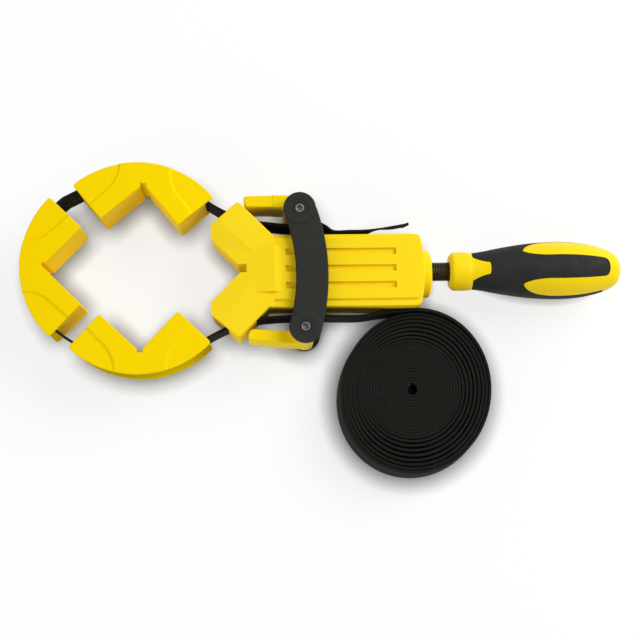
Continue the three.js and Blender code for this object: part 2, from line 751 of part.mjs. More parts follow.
function anvilSolid(side) {
  const low = plateThickness + seatGap;
  const high = plateTopZ - plateThickness - seatGap;
  const lowY = side > 0 ? anvilInner : -anvilOuter;
  const block = box(-anvilFrontReach, anvilRearReach, lowY, lowY + anvilThickness, low, high);
  const spigots = anvilSpigotReaches.map((reach) => rodZ(
    anvilSpigotRadius,
    reach,
    lowY + anvilThickness / 2,
    low - anvilSpigotHeight,
    high + anvilSpigotHeight,
    spigotSteps,
  ));
  const pocket = box(
    carriageX - crossbarWidth / 2 - seatGap,
    carriageX + crossbarWidth / 2 + seatGap,
    -crossbarHalfLength - seatGap,
    crossbarHalfLength + seatGap,
    midZ - crossbarHeight / 2 - seatGap,
    midZ + crossbarHeight / 2 + seatGap,
  );
  return cut(tilted(join(block, ...spigots)), pocket);
}

function addCarriage() {
  const lowPlate = toGeometry(plateSolid(0));
  lowPlate.applyMatrix4(new THREE.Matrix4().makeScale(1, 1, -1));
  lowPlate.index.array.reverse();
  lowPlate.translate(0, 0, plateThickness);
  const highPlate = toGeometry(plateSolid(plateBandDrop));
  highPlate.translate(0, 0, plateTopZ - plateThickness);
  place('bridge_plate_top', tilted(highPlate), black());
  place('bridge_plate_bottom', tilted(lowPlate), black());
  place('anvil_upper', anvilSolid(1), black());
  place('anvil_lower', anvilSolid(-1), black());
  const bar = box(
    carriageX - crossbarWidth / 2,
    carriageX + crossbarWidth / 2,
    -crossbarHalfLength,
    crossbarHalfLength,
    midZ - crossbarHeight / 2,
    midZ + crossbarHeight / 2,
  );
  const barBore = rodX(journalRadius + pivotGap, carriageX - crossbarWidth, carriageX + crossbarWidth);
  place('crossbar', cut(bar, barBore), steel());
}

function rivetSolid(x, y) {
  const low = plateRecessDepth;
  const high = plateTopZ - plateRecessDepth;
  const shank = rodZ(rivetRadius, x, y, low + rivetHeadHeight / 2, high - rivetHeadHeight / 2);
  const lowHead = rodZ(rivetHeadRadius, x, y, low, low + rivetHeadHeight);
  const highHead = rodZ(rivetHeadRadius, x, y, high - rivetHeadHeight, high);
  const hollows = [
    rodZ(rivetHollowRadius, x, y, low - overrun, low + rivetHollowDepth, spigotSteps),
    rodZ(rivetHollowRadius, x, y, high - rivetHollowDepth, high + overrun, spigotSteps),
  ];
  return cut(join(shank, lowHead, highHead), ...hollows);
}

// the cam lever's hub: low where the open lever passes the strap, toothed where the closed one grips it
function hubRadius(angle) {
  const knots = [
    [-180, hubOuterRadius], [-150, camRadius], [-90, camRadius], [0, camLowRadius], [28, camLowRadius + pivotGap],
    [62, hubOuterRadius], [180, hubOuterRadius],
  ].map(([degrees, radius]) => [THREE.MathUtils.degToRad(degrees), radius]);
  const at = knots.findIndex(([knot], i) => i + 1 < knots.length && angle <= knots[i + 1][0]);
  const [[fromAngle, fromRadius], [toAngle, toRadius]] = [knots[at], knots[at + 1]];
  const share = THREE.MathUtils.smoothstep(angle, fromAngle, toAngle);
  const toothed = angle > THREE.MathUtils.degToRad(-140) && angle < 0;
  const tooth = toothed ? camToothDepth * (0.5 + 0.5 * Math.cos((2 * Math.PI * angle) / camToothPitch)) : 0;
  return THREE.MathUtils.lerp(fromRadius, toRadius, share) - tooth;
}

// the upper lever about its pivot, arm towards -X
function leverSolid() {
  const low = plateThickness + slideGap;
  const high = plateTopZ - plateThickness - slideGap;
  const hub = Array.from({ length: camSteps }, (_, i) => {
    const angle = -Math.PI + (2 * Math.PI * (i + 0.5)) / camSteps;
    return polar(hubRadius(angle), angle);
  });
  const heel = [
    vec(0, leverInner),
    vec(0, hubOuterRadius),
    vec(-leverHeelReach, leverOuter),
    vec(-leverHeelReach, leverInner),
  ];
  const heelHalf = leverHeight / 2 + leverHeelRise;
  const arm = roundedOutline([
    [vec(-leverInner, leverInner), 0],
    [vec(-leverInner, hubOuterRadius - pivotGap), 0],
    [vec(-leverHeelReach, leverOuter), 0],
    [vec(-leverReach, leverOuter - pivotGap), leverTipRadius],
    [vec(-leverReach, leverInner + pivotGap), leverInnerTipRadius],
  ]);
  const solid = join(
    slab(hub, low, high),
    slab(heel, midZ - heelHalf, midZ + heelHalf),
    slab(arm, midZ - leverHeight / 2, midZ + leverHeight / 2, leverEdge),
  );
  return cut(solid, rodZ(rivetRadius + pivotGap, 0, 0, -overrun, plateTopZ + overrun));
}

function addLevers() {
  const upperPivot = tiltedPoint(0, plateHalfSpan);
  const lowerPivot = tiltedPoint(0, -plateHalfSpan);
  const upper = toGeometry(leverSolid());
  upper.translate(upperPivot.x, upperPivot.y, 0);
  place('cam_lever_upper', upper, yellow());
  const lower = toGeometry(leverSolid());
  lower.applyMatrix4(new THREE.Matrix4().makeScale(1, -1, 1));
  lower.index.array.reverse();
  lower.rotateZ(lowerLeverTurn);
  lower.translate(lowerPivot.x, lowerPivot.y, 0);
  lower.computeVertexNormals();
  place('cam_lever_lower', lower, yellow());
  place('rivet_upper', rivetSolid(upperPivot.x, upperPivot.y), steel());
  place('rivet_lower', rivetSolid(lowerPivot.x, lowerPivot.y), steel());
}

// Spindle
function addSpindle() {
  const clipX = carriageX - crossbarWidth / 2 - seatGap - clipThickness;
  const grooveRadius = journalRadius - clipGrooveDepth;
  const spindle = turnedX([
    [journalFrontX, 0],
    [journalFrontX, journalRadius],
    [clipX - seatGap, journalRadius],
    [clipX - seatGap, grooveRadius],
    [clipX + clipThickness + seatGap / 2, grooveRadius],
    [clipX + clipThickness + seatGap / 2, journalRadius],
    [shoulderX, journalRadius],
    [shoulderX, spindleRadius - spindleEdge],
    [shoulderX + spindleEdge, spindleRadius],
    [spindleEndX - spindleEdge, spindleRadius],
    [spindleEndX, spindleRadius - spindleEdge],
    [spindleEndX, 0],
  ]);
  place('spindle', spindle, darkSteel());
  const ring = (radius, bore, lowX, highX) => (
    cut(
      rodX(radius, lowX, highX, smallTurnSteps),
      rodX(bore, lowX - overrun, highX + overrun, smallTurnSteps),
    )
  );
  place('retaining_clip', ring(clipRadius, grooveRadius + pivotGap, clipX, clipX + clipThickness), steel());
  const washerX = carriageX + crossbarWidth / 2 + seatGap;
  place('thrust_washer', ring(washerRadius, journalRadius + pivotGap, washerX, washerX + washerThickness), steel());
}

// Handle
function handleLathe(offset, lowX, highX) {
  const length = handleEndX - handleFrontX;
  const knots = handleProfile.map(([share, radius]) => vec(handleFrontX + share * length, radius));
  const points = new THREE.SplineCurve(knots).getPoints(handleSteps)
    .filter((p) => p.x > lowX && p.x < highX)
    .map((p) => [p.x, p.y + offset]);
  const first = points[0];
  const last = points.at(-1);
  const startX = Math.max(lowX, handleFrontX);
  const endX = Math.min(highX, handleEndX);
  return turnedX([[startX, 0], [startX, first[1]], ...points, [endX, last[1]], [endX, 0]]);
}

// an outline drawn on the unrolled handle, as a wedge that runs from inside to outside of its surface
function wrapped(points) {
  const inner = spindleRadius;
  const outer = 2 * gripUnrollRadius;
  const geometry = new THREE.ExtrudeGeometry(new THREE.Shape(points), { depth: outer - inner, bevelEnabled: false });
  const position = geometry.attributes.position;
  for (let i = 0; i < position.count; i += 1) {
    const angle = position.getY(i) / gripUnrollRadius;
    const radius = inner + position.getZ(i);
    position.setXYZ(i, position.getX(i), radius * Math.sin(angle), midZ + radius * Math.cos(angle));
  }
  return toSolid(geometry);
}

// one yellow window of the grip, between the top tongue and the side tongue
function windowOutline(shrink) {
  const quarter = (Math.PI / 2) * gripUnrollRadius;
  const top = windowTopHalf + shrink;
  const side = quarter - windowSideHalf - shrink;
  const rise = (tongueEndX - windowFrontX) / 3;
  const end = handleEndX + overrun;
  const tip = vec(windowFrontX + shrink, (top + side) / 2 - windowTipShift);
  const edgeCurve = (line) => new THREE.CubicBezierCurve(
    tip,
    vec(tip.x + windowTipHandle, THREE.MathUtils.lerp(tip.y, line, windowTipShare)),
    vec(tip.x + rise / 2, line),
    vec(tip.x + rise, line),
  );
  const topCurve = edgeCurve(top);
  const sideCurve = edgeCurve(side);
  const tongueEnd = new THREE.QuadraticBezierCurve(
    vec(tongueEndX - windowTopHalf / 2, top),
    vec(tongueEndX + shrink, top),
    vec(tongueEndX + shrink, 0),
  ).getPoints(4);
  const past = tongueRound / 2;
  const sideEnd = new THREE.QuadraticBezierCurve(
    vec(tongueEndX - 2 * tongueRound, side),
    vec(tongueEndX - tongueRound + shrink, side),
    vec(tongueEndX - tongueRound + shrink, quarter),
  ).getPoints(3);
  return [
    ...topCurve.getPoints(5),
    ...tongueEnd,
    vec(tongueEndX + shrink, -past),
    vec(end, -past),
    vec(end, quarter + past),
    vec(sideEnd.at(-1).x, quarter + past),
    ...[...sideEnd].reverse(),
    ...[...sideCurve.getPoints(5)].reverse().slice(0, -1),
  ];
}

// the collar's yellow tongue that runs back into the grip on top
function notchOutline(shrink) {
  const front = gripFrontX - overrun;
  const mouth = notchMouthHalf - shrink;
  const end = gripFrontX + notchDepth - shrink;
  const half = notchHalfWidth - shrink;
  return [
    vec(front, -mouth),
    vec(gripFrontX, -mouth),
    vec(gripFrontX + notchDepth / 3, -half - (mouth - half) / 3),
    vec(end - seatGap, -half),
    vec(end, seatGap - half),
    vec(end, half - seatGap),
    vec(end - seatGap, half),
    vec(gripFrontX + notchDepth / 3, half + (mouth - half) / 3),
    vec(gripFrontX, mouth),
    vec(front, mouth),
  ];
}

function gripTools(shrink) {
  const quarters = windowOutline(shrink);
  const mirrored = quarters.map((p) => vec(p.x, -p.y)).reverse();
  const halfTurn = Math.PI * gripUnrollRadius;
  const turned = (points) => points.map((p) => vec(p.x, p.y + halfTurn));
  const notch = notchOutline(shrink);
  return [quarters, mirrored, turned(quarters), turned(mirrored), notch, turned(notch)].map(wrapped);
}

function addHandle() {
  const skin = handleLathe(0, handleFrontX, handleEndX);
  const bore = rodX(spindleRadius + pivotGap, handleFrontX - overrun, spindleEndX + seatGap);
  const sleeve = (gap) => cut(
    handleLathe(gap > 0 ? overrun : 0, gripFrontX - gap, gripEndX + gap),
    handleLathe(-gripThickness - gap, gripFrontX - overrun, gripEndX + overrun),
  );
  const grip = cut(sleeve(0), ...gripTools(-gripGap));
  const core = cut(skin, cut(sleeve(2 * gripGap), ...gripTools(gripGap)), bore);
  place('handle_core', core, yellow());
  place('handle_grip', grip, rubber());
}

// Strap
const smoothRoute = (points, steps) => new THREE.CatmullRomCurve3(
  points.map((point) => station(point)),
  false,
  'centripetal',
).getPoints(steps).map((p) => vec(p.x, p.y));

function pinchPoints(side) {
  return [-anvilFrontReach, anvilRearReach].map((x) => tiltedPoint(x, side * pinchOffset));
}

// from the pinch along a route of [x, distance from the housing's side]
function loosePoints(side, route) {
  const [front, rear] = pinchPoints(side);
  const middle = front.clone().lerp(rear, 0.5);
  const beside = route.map(([x, standOff]) => vec(x, side * (bodyHalfWidth + standOff)));
  return smoothRoute([front, middle, rear, ...beside], 24);
}

// how far the strap has come down at a share of the lead
const leadDrop = (share) => leadEndDrop * THREE.MathUtils.smoothstep(share, 0.35, 1);

function coilRadius(turns) {
  const angle = coilStartAngle - 2 * Math.PI * turns;
  const spiral = THREE.MathUtils.lerp(coilOuterRadius, coilEyeRadius, turns / coilLoops);
  const fade = 1 - THREE.MathUtils.smoothstep(turns, 0.6, coilLooseTurns);
  const lobe = coilLooseLift
    + coilSideLift * Math.cos(angle - coilSideAngle)
    + coilOvalLift * Math.cos(2 * (angle - coilOvalAngle));
  const rise = coilLeadRise * (1 - THREE.MathUtils.smoothstep(turns, 0, coilLeadTurns));
  return spiral + fade * lobe + rise;
}

const coilStart = vec(coilStartX, -bodyHalfWidth - coilStandOff);
const coilMiddle = coilStart.clone().sub(polar(coilRadius(0), coilStartAngle));

function coilStations() {
  const steps = coilLoops * coilStepsPerLoop;
  const restZ = strapWidth / 2;
  const startZ = midZ - leadEndDrop;
  return Array.from({ length: steps + 1 }, (_, i) => {
    const turns = i / coilStepsPerLoop;
    const angle = coilStartAngle - 2 * Math.PI * turns;
    const z = THREE.MathUtils.lerp(startZ, restZ, THREE.MathUtils.smoothstep(turns, 0, coilSettleTurns));
    return station(polar(coilRadius(turns), angle).add(coilMiddle), z);
  });
}

function coilGap(stations) {
  let least = Infinity;
  const perTurn = coilStepsPerLoop;
  for (let i = 0; i + perTurn < stations.length; i += 1) {
    const here = vec(stations[i].x, stations[i].y);
    for (let k = i + Math.floor(perTurn / 2); k + 1 < stations.length && k < i + 2 * perTurn; k += 1) {
      const a = vec(stations[k].x, stations[k].y);
      const b = vec(stations[k + 1].x, stations[k + 1].y);
      const along = b.clone().sub(a);
      const share = THREE.MathUtils.clamp(here.clone().sub(a).dot(along) / along.lengthSq(), 0, 1);
      least = Math.min(least, here.distanceTo(a.addScaledVector(along, share)));
    }
  }
  return least - strapThickness;
}

const lengthOf = (points) => points.slice(1).reduce((sum, p, i) => sum + p.distanceTo(points[i]), 0);

function addStrap() {
  place('strap_loop', band(loopRoute.map((p) => station(p)), strapThickness, strapWidth), webbing());
  const stretches = { loop: lengthOf(loopRoute) };
  for (const [name, side, arm] of [['strap_run_upper', 1, upperArm], ['strap_run_lower', -1, lowerArm]]) {
    const [pinch, pinchRear] = pinchPoints(side);
    const start = arm.at(-1).clone();
    const startWay = start.clone().sub(arm.at(-2)).normalize();
    const endWay = pinchRear.clone().sub(pinch).normalize();
    start.addScaledVector(startWay, seatGap);
    const end = pinch.clone().addScaledVector(endWay, -seatGap);
    const reach = start.distanceTo(end) / 3;
    const points = link(start, startWay, end, endWay, reach, reach, 4);
    place(name, band(points.map((p) => station(p)), strapThickness, strapWidth), webbing());
    stretches[name] = lengthOf(points);
  }
  const tail = loosePoints(1, tailRoute);
  const leans = tail.map((p) => tailLean * THREE.MathUtils.smoothstep(p.x, tailLeanFromX, tailLeanToX));
  // the upper edge keeps its place in plan
  const tailStations = tail.map((p, i) => station(vec(p.x, p.y + (strapWidth / 2) * Math.sin(leans[i]))));
  place('strap_tail', band(tailStations, strapThickness, strapWidth, leans), webbing());
  const coil = coilStations();
  const coilWay = vec(coil[1].x, coil[1].y).sub(coilStart).normalize();
  const leadEnd = coilStart.clone().addScaledVector(coilWay, -seatGap);
  const lead = loosePoints(-1, [...leadRoute, [leadEnd.x, -leadEnd.y - bodyHalfWidth]]);
  const leadStations = lead.map((p, i) => station(p, midZ - leadDrop(i / (lead.length - 1))));
  place('strap_lead', band(leadStations, strapThickness, strapWidth), webbing());
  place('strap_coil', band(coil, strapThickness, strapWidth), webbing());
  stretches.tail = lengthOf(tail);
  stretches.lead = lengthOf(lead);
  stretches.coil = lengthOf(coil);
  const whole = Object.values(stretches).reduce((sum, length) => sum + length, 0);
  console.log('strap stretches, mm:', stretches, 'whole:', whole.toFixed(0));
  console.log('least gap between the coil\'s turns, mm:', coilGap(coil).toFixed(2));
}

addHousing();
addJaws();
addCarriage();
addLevers();
addSpindle();
addHandle();
addStrap();

export default new THREE.Group().add(model);
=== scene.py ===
from contextlib import contextmanager
from itertools import accumulate
from math import acos, asin, atan2, cos, dist, pi, radians, remainder, sin, sqrt, tau

import bmesh
import bpy
from mathutils import Matrix, Vector, noise


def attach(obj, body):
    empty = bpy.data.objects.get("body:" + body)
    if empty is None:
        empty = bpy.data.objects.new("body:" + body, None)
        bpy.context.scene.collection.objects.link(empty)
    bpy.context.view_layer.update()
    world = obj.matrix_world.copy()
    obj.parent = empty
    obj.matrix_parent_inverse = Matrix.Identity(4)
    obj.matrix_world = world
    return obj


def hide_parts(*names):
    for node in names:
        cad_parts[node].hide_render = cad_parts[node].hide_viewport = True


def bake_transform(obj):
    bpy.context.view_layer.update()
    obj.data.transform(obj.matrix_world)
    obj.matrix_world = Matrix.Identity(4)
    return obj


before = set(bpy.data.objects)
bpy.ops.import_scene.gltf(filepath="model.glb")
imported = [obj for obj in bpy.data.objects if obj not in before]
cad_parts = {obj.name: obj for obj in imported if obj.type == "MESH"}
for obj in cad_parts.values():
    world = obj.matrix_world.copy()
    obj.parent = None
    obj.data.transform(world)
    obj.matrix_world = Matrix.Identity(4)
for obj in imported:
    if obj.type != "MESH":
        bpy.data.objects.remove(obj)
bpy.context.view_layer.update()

# Lengths are drawn in millimetres, with X = 0 near the V block's corner, and go to metres in the frame's own
# place when a mesh is made.
MM = 0.001
ORIGIN_X = 39.6
MID_Z = 21.5
OVERRUN = 2.0
GAP = 0.15
MERGE_REACH = 1e-6
WELD_REACH = 5e-6
FLAT_ANGLE = radians(0.6)
BROAD_FACE = 1.4
CREASE_ANGLE = radians(2.5)
SHARPEST_SHARE = 0.3
FAR = 200.0
WHITE = (1.0, 1.0, 1.0, 1.0)

STRAP_WIDTH = 25.0
STRAP_THICKNESS = 1.1
STRAP_EDGE = 0.35
GROOVE_HALF = 13.1

BODY_LOW = 5.5
BODY_HIGH = 37.5
BODY_HALF = 19.8
BODY_FRONT = 18.0
BODY_REAR = 98.8
BODY_ROUND = 4.0
BODY_BULGE = 3.2
BODY_EDGE = 0.8
PANEL_EDGE = 0.9
BODY_SHIFT = 1.0
LEDGE_WIDTH = 2.75
LEDGE_DROP = 1.4

JAW_RADIUS = 53.9
JAW_FACE = 24.3
JAW_SEAT = 5.6
JAW_PANEL = 1.0
JAW_NOTCH = 3.5
JAW_NOTCH_DEPTH = 2.1
JAWS = {
    "jaw_top": (-55.6, 5.6, radians(-5.4)),
    "jaw_left": (-63.9, 2.9, radians(90.3)),
    "jaw_bottom": (-54.5, -2.2, radians(181.4)),
}

CARRIAGE_X = 34.0
CARRIAGE_TILT = radians(2.1)
PLATE_THICKNESS = 5.0
PLATE_TOP = 43.0
PIVOT_Y = 32.2
PINCH_Y = 25.05


# Places and outlines

def to_frame(x, y, z):
    return ((x - ORIGIN_X) * MM, y * MM, z * MM)


def polar(radius, angle, centre=(0.0, 0.0)):
    return (centre[0] + radius * cos(angle), centre[1] + radius * sin(angle))


def arc(radius, start, end, steps, centre=(0.0, 0.0)):
    return [polar(radius, start + (end - start) * i / steps, centre) for i in range(steps + 1)]


def running(steps):
    """How far along its line each point is, from the lengths between the points."""
    return list(accumulate(steps, initial=0.0))


def ways(points):
    """The line's direction at each point, seen from above, from the points beside it."""
    flat = [Vector(point[:2]) for point in points]
    padded = flat[:1] + flat + flat[-1:]
    return [(after - before).normalized() for before, after in zip(padded, padded[2:])]


def bezier_point(points, share):
    layer = [Vector(p) for p in points]
    while len(layer) > 1:
        layer = [a.lerp(b, share) for a, b in zip(layer, layer[1:])]
    return tuple(layer[0])


def bezier(points, steps):
    return [bezier_point(points, i / steps) for i in range(steps + 1)]


def catmull(points, steps):
    """A smooth curve through points, evenly stepped in its own parameter."""
    count = len(points) - 1
    result = []
    for i in range(steps + 1):
        place = count * i / steps
        at = min(int(place), count - 1)
        before, a, b, after = (Vector(points[min(max(at + k, 0), count)]) for k in (-1, 0, 1, 2))
        result.append(bezier_point([a, a + (b - before) / 6, b - (after - a) / 6, b], place - at))
    return result


def rounded_outline(corners, steps=6):
    """The outline of corners (x, y and how far from the corner its rounding starts)."""
    result = []
    for i, (x, y, reach) in enumerate(corners):
        corner = Vector((x, y))
        beside = [Vector(other[:2]) for other in (corners[i - 1], corners[(i + 1) % len(corners)])]
        start, end = (corner + (other - corner).normalized() * reach for other in beside)
        result += bezier([start, corner, end], steps) if reach else [(x, y)]
    return result


def mirror_y(points):
    return [(x, -y) for x, y in reversed(points)]


def moved(points, dx, dy):
    return [(x + dx, y + dy) for x, y in points]


def turned(points, angle):
    c, s = cos(angle), sin(angle)
    return [(x * c - y * s, x * s + y * c) for x, y in points]


def smooth(value, low, high):
    t = min(max((value - low) / (high - low), 0.0), 1.0)
    return t * t * (3 - 2 * t)


# Meshes

def in_scene(name, data):
    piece = bpy.data.objects.new(name, data)
    bpy.context.scene.collection.objects.link(piece)
    return piece


def configured(target, **settings):
    for key, value in settings.items():
        setattr(target, key, value)
    return target


@contextmanager
def editing(mesh):
    """The mesh's edit graph, written back when the block ends."""
    graph = bmesh.new()
    graph.from_mesh(mesh)
    yield graph
    graph.to_mesh(mesh)
    graph.free()


def new_object(name, vertices, faces):
    """A mesh object from points in millimetres, merged and with its faces out."""
    mesh = bpy.data.meshes.new(name)
    mesh.from_pydata([to_frame(*v) for v in vertices], [], faces)
    with editing(mesh) as graph:
        bmesh.ops.remove_doubles(graph, verts=graph.verts, dist=MERGE_REACH)
        bmesh.ops.recalc_face_normals(graph, faces=graph.faces)
    return in_scene(name, mesh)


def tube_faces(rings, count):
    """The faces between rings of points, with both ends closed."""
    faces = []
    for ring in range(rings - 1):
        for i in range(count):
            a = ring * count + i
            b = ring * count + (i + 1) % count
            faces.append((a, b, b + count, a + count))
    last = (rings - 1) * count
    return faces + [tuple(reversed(range(count))), tuple(range(last, last + count))]


def prism(name, near, far):
    return new_object(name, near + far, tube_faces(2, len(near)))


def inset(points, distance):
    """The outline moved inwards by a distance, corner by corner; the points run anticlockwise."""
    result = []
    for i, point in enumerate(points):
        here = Vector(point)
        before = (here - Vector(points[i - 1])).normalized()
        after = (Vector(points[(i + 1) % len(points)]) - here).normalized()
        normal = Vector((-before.y - after.y, before.x + after.x))
        result.append(tuple(here + normal * (distance / max(1 + before.dot(after), SHARPEST_SHARE))))
    return result


def area_of(points):
    return sum(a[0] * b[1] - b[0] * a[1] for a, b in zip(points, points[1:] + points[:1])) / 2


def slab(name, points, low, high, edge=0.0, steps=4):
    """A plate of an outline, with its long edges rounded."""
    layers = [(edge, 0.0)]
    if edge:
        angles = [pi / 2 * i / steps for i in range(steps + 1)]
        layers = [(edge * (1 - sin(a)), edge * (1 - cos(a))) for a in angles]
    return layered(name, points, low, high, layers)


def layered(name, points, low, high, layers):
    """A plate from layers of [how far the outline is moved in, height from the plate's face]."""
    outline = points if area_of(points) > 0 else points[::-1]
    rings = [(drop, low + rise) for drop, rise in layers]
    rings += [(drop, high - rise) for drop, rise in reversed(layers)]
    vertices = []
    for drop, z in rings:
        vertices += [(x, y, z) for x, y in (inset(outline, drop) if drop else outline)]
    return new_object(name, vertices, tube_faces(len(rings), len(outline)))


def box(name, low, high):
    outline = [(low[0], low[1]), (high[0], low[1]), (high[0], high[1]), (low[0], high[1])]
    return slab(name, outline, low[2], high[2])


def lathe(name, profile, steps=64, axis="X", place=(0.0, 0.0, MID_Z)):
    """A turned piece from [position along the axis, radius or a list of radii round it]."""
    vertices = []
    for along, radius in profile:
        for i, r in enumerate(radius if isinstance(radius, list) else [radius] * steps):
            a, b = polar(r, tau * i / steps)
            point = (along, a, b) if axis == "X" else (a, b, along)
            vertices.append(tuple(p + q for p, q in zip(point, place)))
    return new_object(name, vertices, tube_faces(len(profile), steps))


def rod_x(name, radius, low, high, steps=48):
    return lathe(name, [(low, radius), (high, radius)], steps)


def rod_z(name, radius, x, y, low, high, steps=32):
    return lathe(name, [(low, radius), (high, radius)], steps, "Z", (x, y, 0.0))


def modified(piece, kind, **settings):
    """The piece with one modifier applied."""
    configured(piece.modifiers.new(kind, kind), **settings)
    graph = bpy.context.evaluated_depsgraph_get()
    mesh = bpy.data.meshes.new_from_object(piece.evaluated_get(graph))
    piece.modifiers.clear()
    piece.data = mesh
    return piece


def boolean(piece, operation, tool):
    for each in (piece, tool):
        with editing(each.data) as graph:
            bmesh.ops.triangulate(graph, faces=[f for f in graph.faces if len(f.verts) > 4])
    modified(piece, "BOOLEAN", operation=operation, solver="MANIFOLD", object=tool)
    bpy.data.objects.remove(tool)
    return piece


def cut(piece, *tools):
    for tool in tools:
        boolean(piece, "DIFFERENCE", tool)
    return piece


def join(piece, *tools):
    for tool in tools:
        boolean(piece, "UNION", tool)
    return piece


def soften(piece, width, segments=2, angle=32.0):
    """Rounds the sharp edges a little and smooths the shading."""
    with editing(piece.data) as graph:
        bmesh.ops.remove_doubles(graph, verts=graph.verts, dist=WELD_REACH)
        bmesh.ops.dissolve_limit(graph, angle_limit=FLAT_ANGLE, verts=graph.verts, edges=graph.edges)
    modified(
        piece, "BEVEL", width=width * MM, segments=segments, limit_method="ANGLE",
        angle_limit=radians(angle), use_clamp_overlap=True, miter_outer="MITER_ARC",
    )
    shade(piece)


def crease(piece):
    """Keeps the line between two broad faces crisp, however little they lean to each other."""
    def is_broad(face):
        return face.calc_area() > BROAD_FACE * MM * max(side.calc_length() for side in face.edges)

    with editing(piece.data) as graph:
        for edge in graph.edges:
            leaning = len(edge.link_faces) == 2 and edge.calc_face_angle() >= CREASE_ANGLE
            if leaning and all(is_broad(face) for face in edge.link_faces):
                edge.smooth = False


def shade(piece, angle=38.0):
    piece.data.shade_smooth()
    piece.data.set_sharp_from_angle(angle=radians(angle))
    crease(piece)
    modified(piece, "WEIGHTED_NORMAL", keep_sharp=True)


# Materials

def linear(*srgb):
    """A colour as it is seen on a screen, from 0 to 255, as the shader's own numbers."""
    result = []
    for value in srgb:
        share = value / 255
        result.append(share / 12.92 if share <= 0.04045 else ((share + 0.055) / 1.055) ** 2.4)
    return (*result, 1.0)


class Nodes:
    """A node tree with its surface, and a short way to build in it."""

    def __init__(self, tree, surface):
        self.tree = tree
        self.surface = tree.nodes[surface]

    def feed(self, socket, value):
        if isinstance(value, bpy.types.NodeSocket):
            self.tree.links.new(value, socket)
        else:
            socket.default_value = value

    def set(self, socket, value):
        self.feed(self.surface.inputs[socket], value)

    def node(self, kind, inputs=(), **settings):
        node = configured(self.tree.nodes.new(kind), **settings)
        for key, value in dict(inputs).items():
            self.feed(node.inputs[key], value)
        return node

    def math(self, operation, first, second=0.0):
        return self.node("ShaderNodeMath", {0: first, 1: second}, operation=operation).outputs[0]

    def ramp(self, value, low, high, start=0.3, end=0.7):
        inputs = {"Value": value, "To Min": low, "To Max": high, "From Min": start, "From Max": end}
        return self.node("ShaderNodeMapRange", inputs).outputs["Result"]

    def seen_rays(self):
        """One for the rays that show the background: the camera's, or sent on by metal or glass."""
        rays = self.node("ShaderNodeLightPath").outputs
        sent_on = self.math("MAXIMUM", rays["Is Glossy Ray"], rays["Is Transmission Ray"])
        return self.math("MAXIMUM", rays["Is Camera Ray"], sent_on)


class Shader(Nodes):
    """A material and the nodes that all of them use."""

    def __init__(self, name, roughness, metallic=0.0, **constants):
        self.material = bpy.data.materials.new(name)
        self.material.use_nodes = True
        super().__init__(self.material.node_tree, "Principled BSDF")
        self.set("Roughness", roughness)
        self.set("Metallic", metallic)
        for socket, value in constants.items():
            self.set(socket.replace("_", " "), value)

    def noise(self, scale, detail=3.0, roughness=0.55, stretch=None):
        vector = self.node("ShaderNodeTexCoord").outputs["Object"]
        if stretch:
            vector = self.node("ShaderNodeMapping", {"Vector": vector, "Scale": stretch}).outputs["Vector"]
        inputs = {"Vector": vector, "Scale": scale, "Detail": detail, "Roughness": roughness}
        return self.node("ShaderNodeTexNoise", inputs).outputs["Fac"]

    def blend(self, share, first, second):
        """A colour between two; a mix of colours has them in its sockets 6 and 7."""
        return self.node("ShaderNodeMix", {0: share, 6: first, 7: second}, data_type="RGBA").outputs[2]

    def paint(self, value, colour, dark):
        self.set("Base Color", self.blend(self.ramp(value, 0.0, 1.0), linear(*colour), linear(*dark)))

    def bump(self, height, strength, distance, under=None):
        inputs = {"Height": height, "Strength": strength, "Distance": distance * MM}
        if under is not None:
            inputs["Normal"] = under
        return self.node("ShaderNodeBump", inputs).outputs["Normal"]


def moulded(name, colour, dark, roughness, grain=0.05, shine=0.02):
    """Moulded plastic: even colour with faint flow marks, a satin grain and soft scuffs."""
    shader = Shader(name, roughness, Specular_IOR_Level=shine)
    shader.paint(shader.noise(18.0, 4.0, 0.6, stretch=(1.0, 0.35, 1.0)), colour, dark)
    shader.set("Roughness", shader.ramp(shader.noise(70.0, 6.0, 0.7), roughness - 0.05, roughness + 0.08))
    fine = shader.bump(shader.noise(2600.0, 2.0), grain, 0.12)
    shader.set("Normal", shader.bump(shader.noise(90.0, 2.0), grain, 0.3, fine))
    return shader.material


def metal(name, colour, dark, roughness, stretch):
    shader = Shader(name, roughness, 1.0)
    grain = shader.noise(900.0, 4.0, 0.6, stretch)
    shader.paint(grain, colour, dark)
    shader.set("Roughness", shader.ramp(shader.noise(220.0, 5.0, 0.7), roughness - 0.08, roughness + 0.15))
    shader.set("Normal", shader.bump(grain, 0.08, 0.05))
    return shader.material


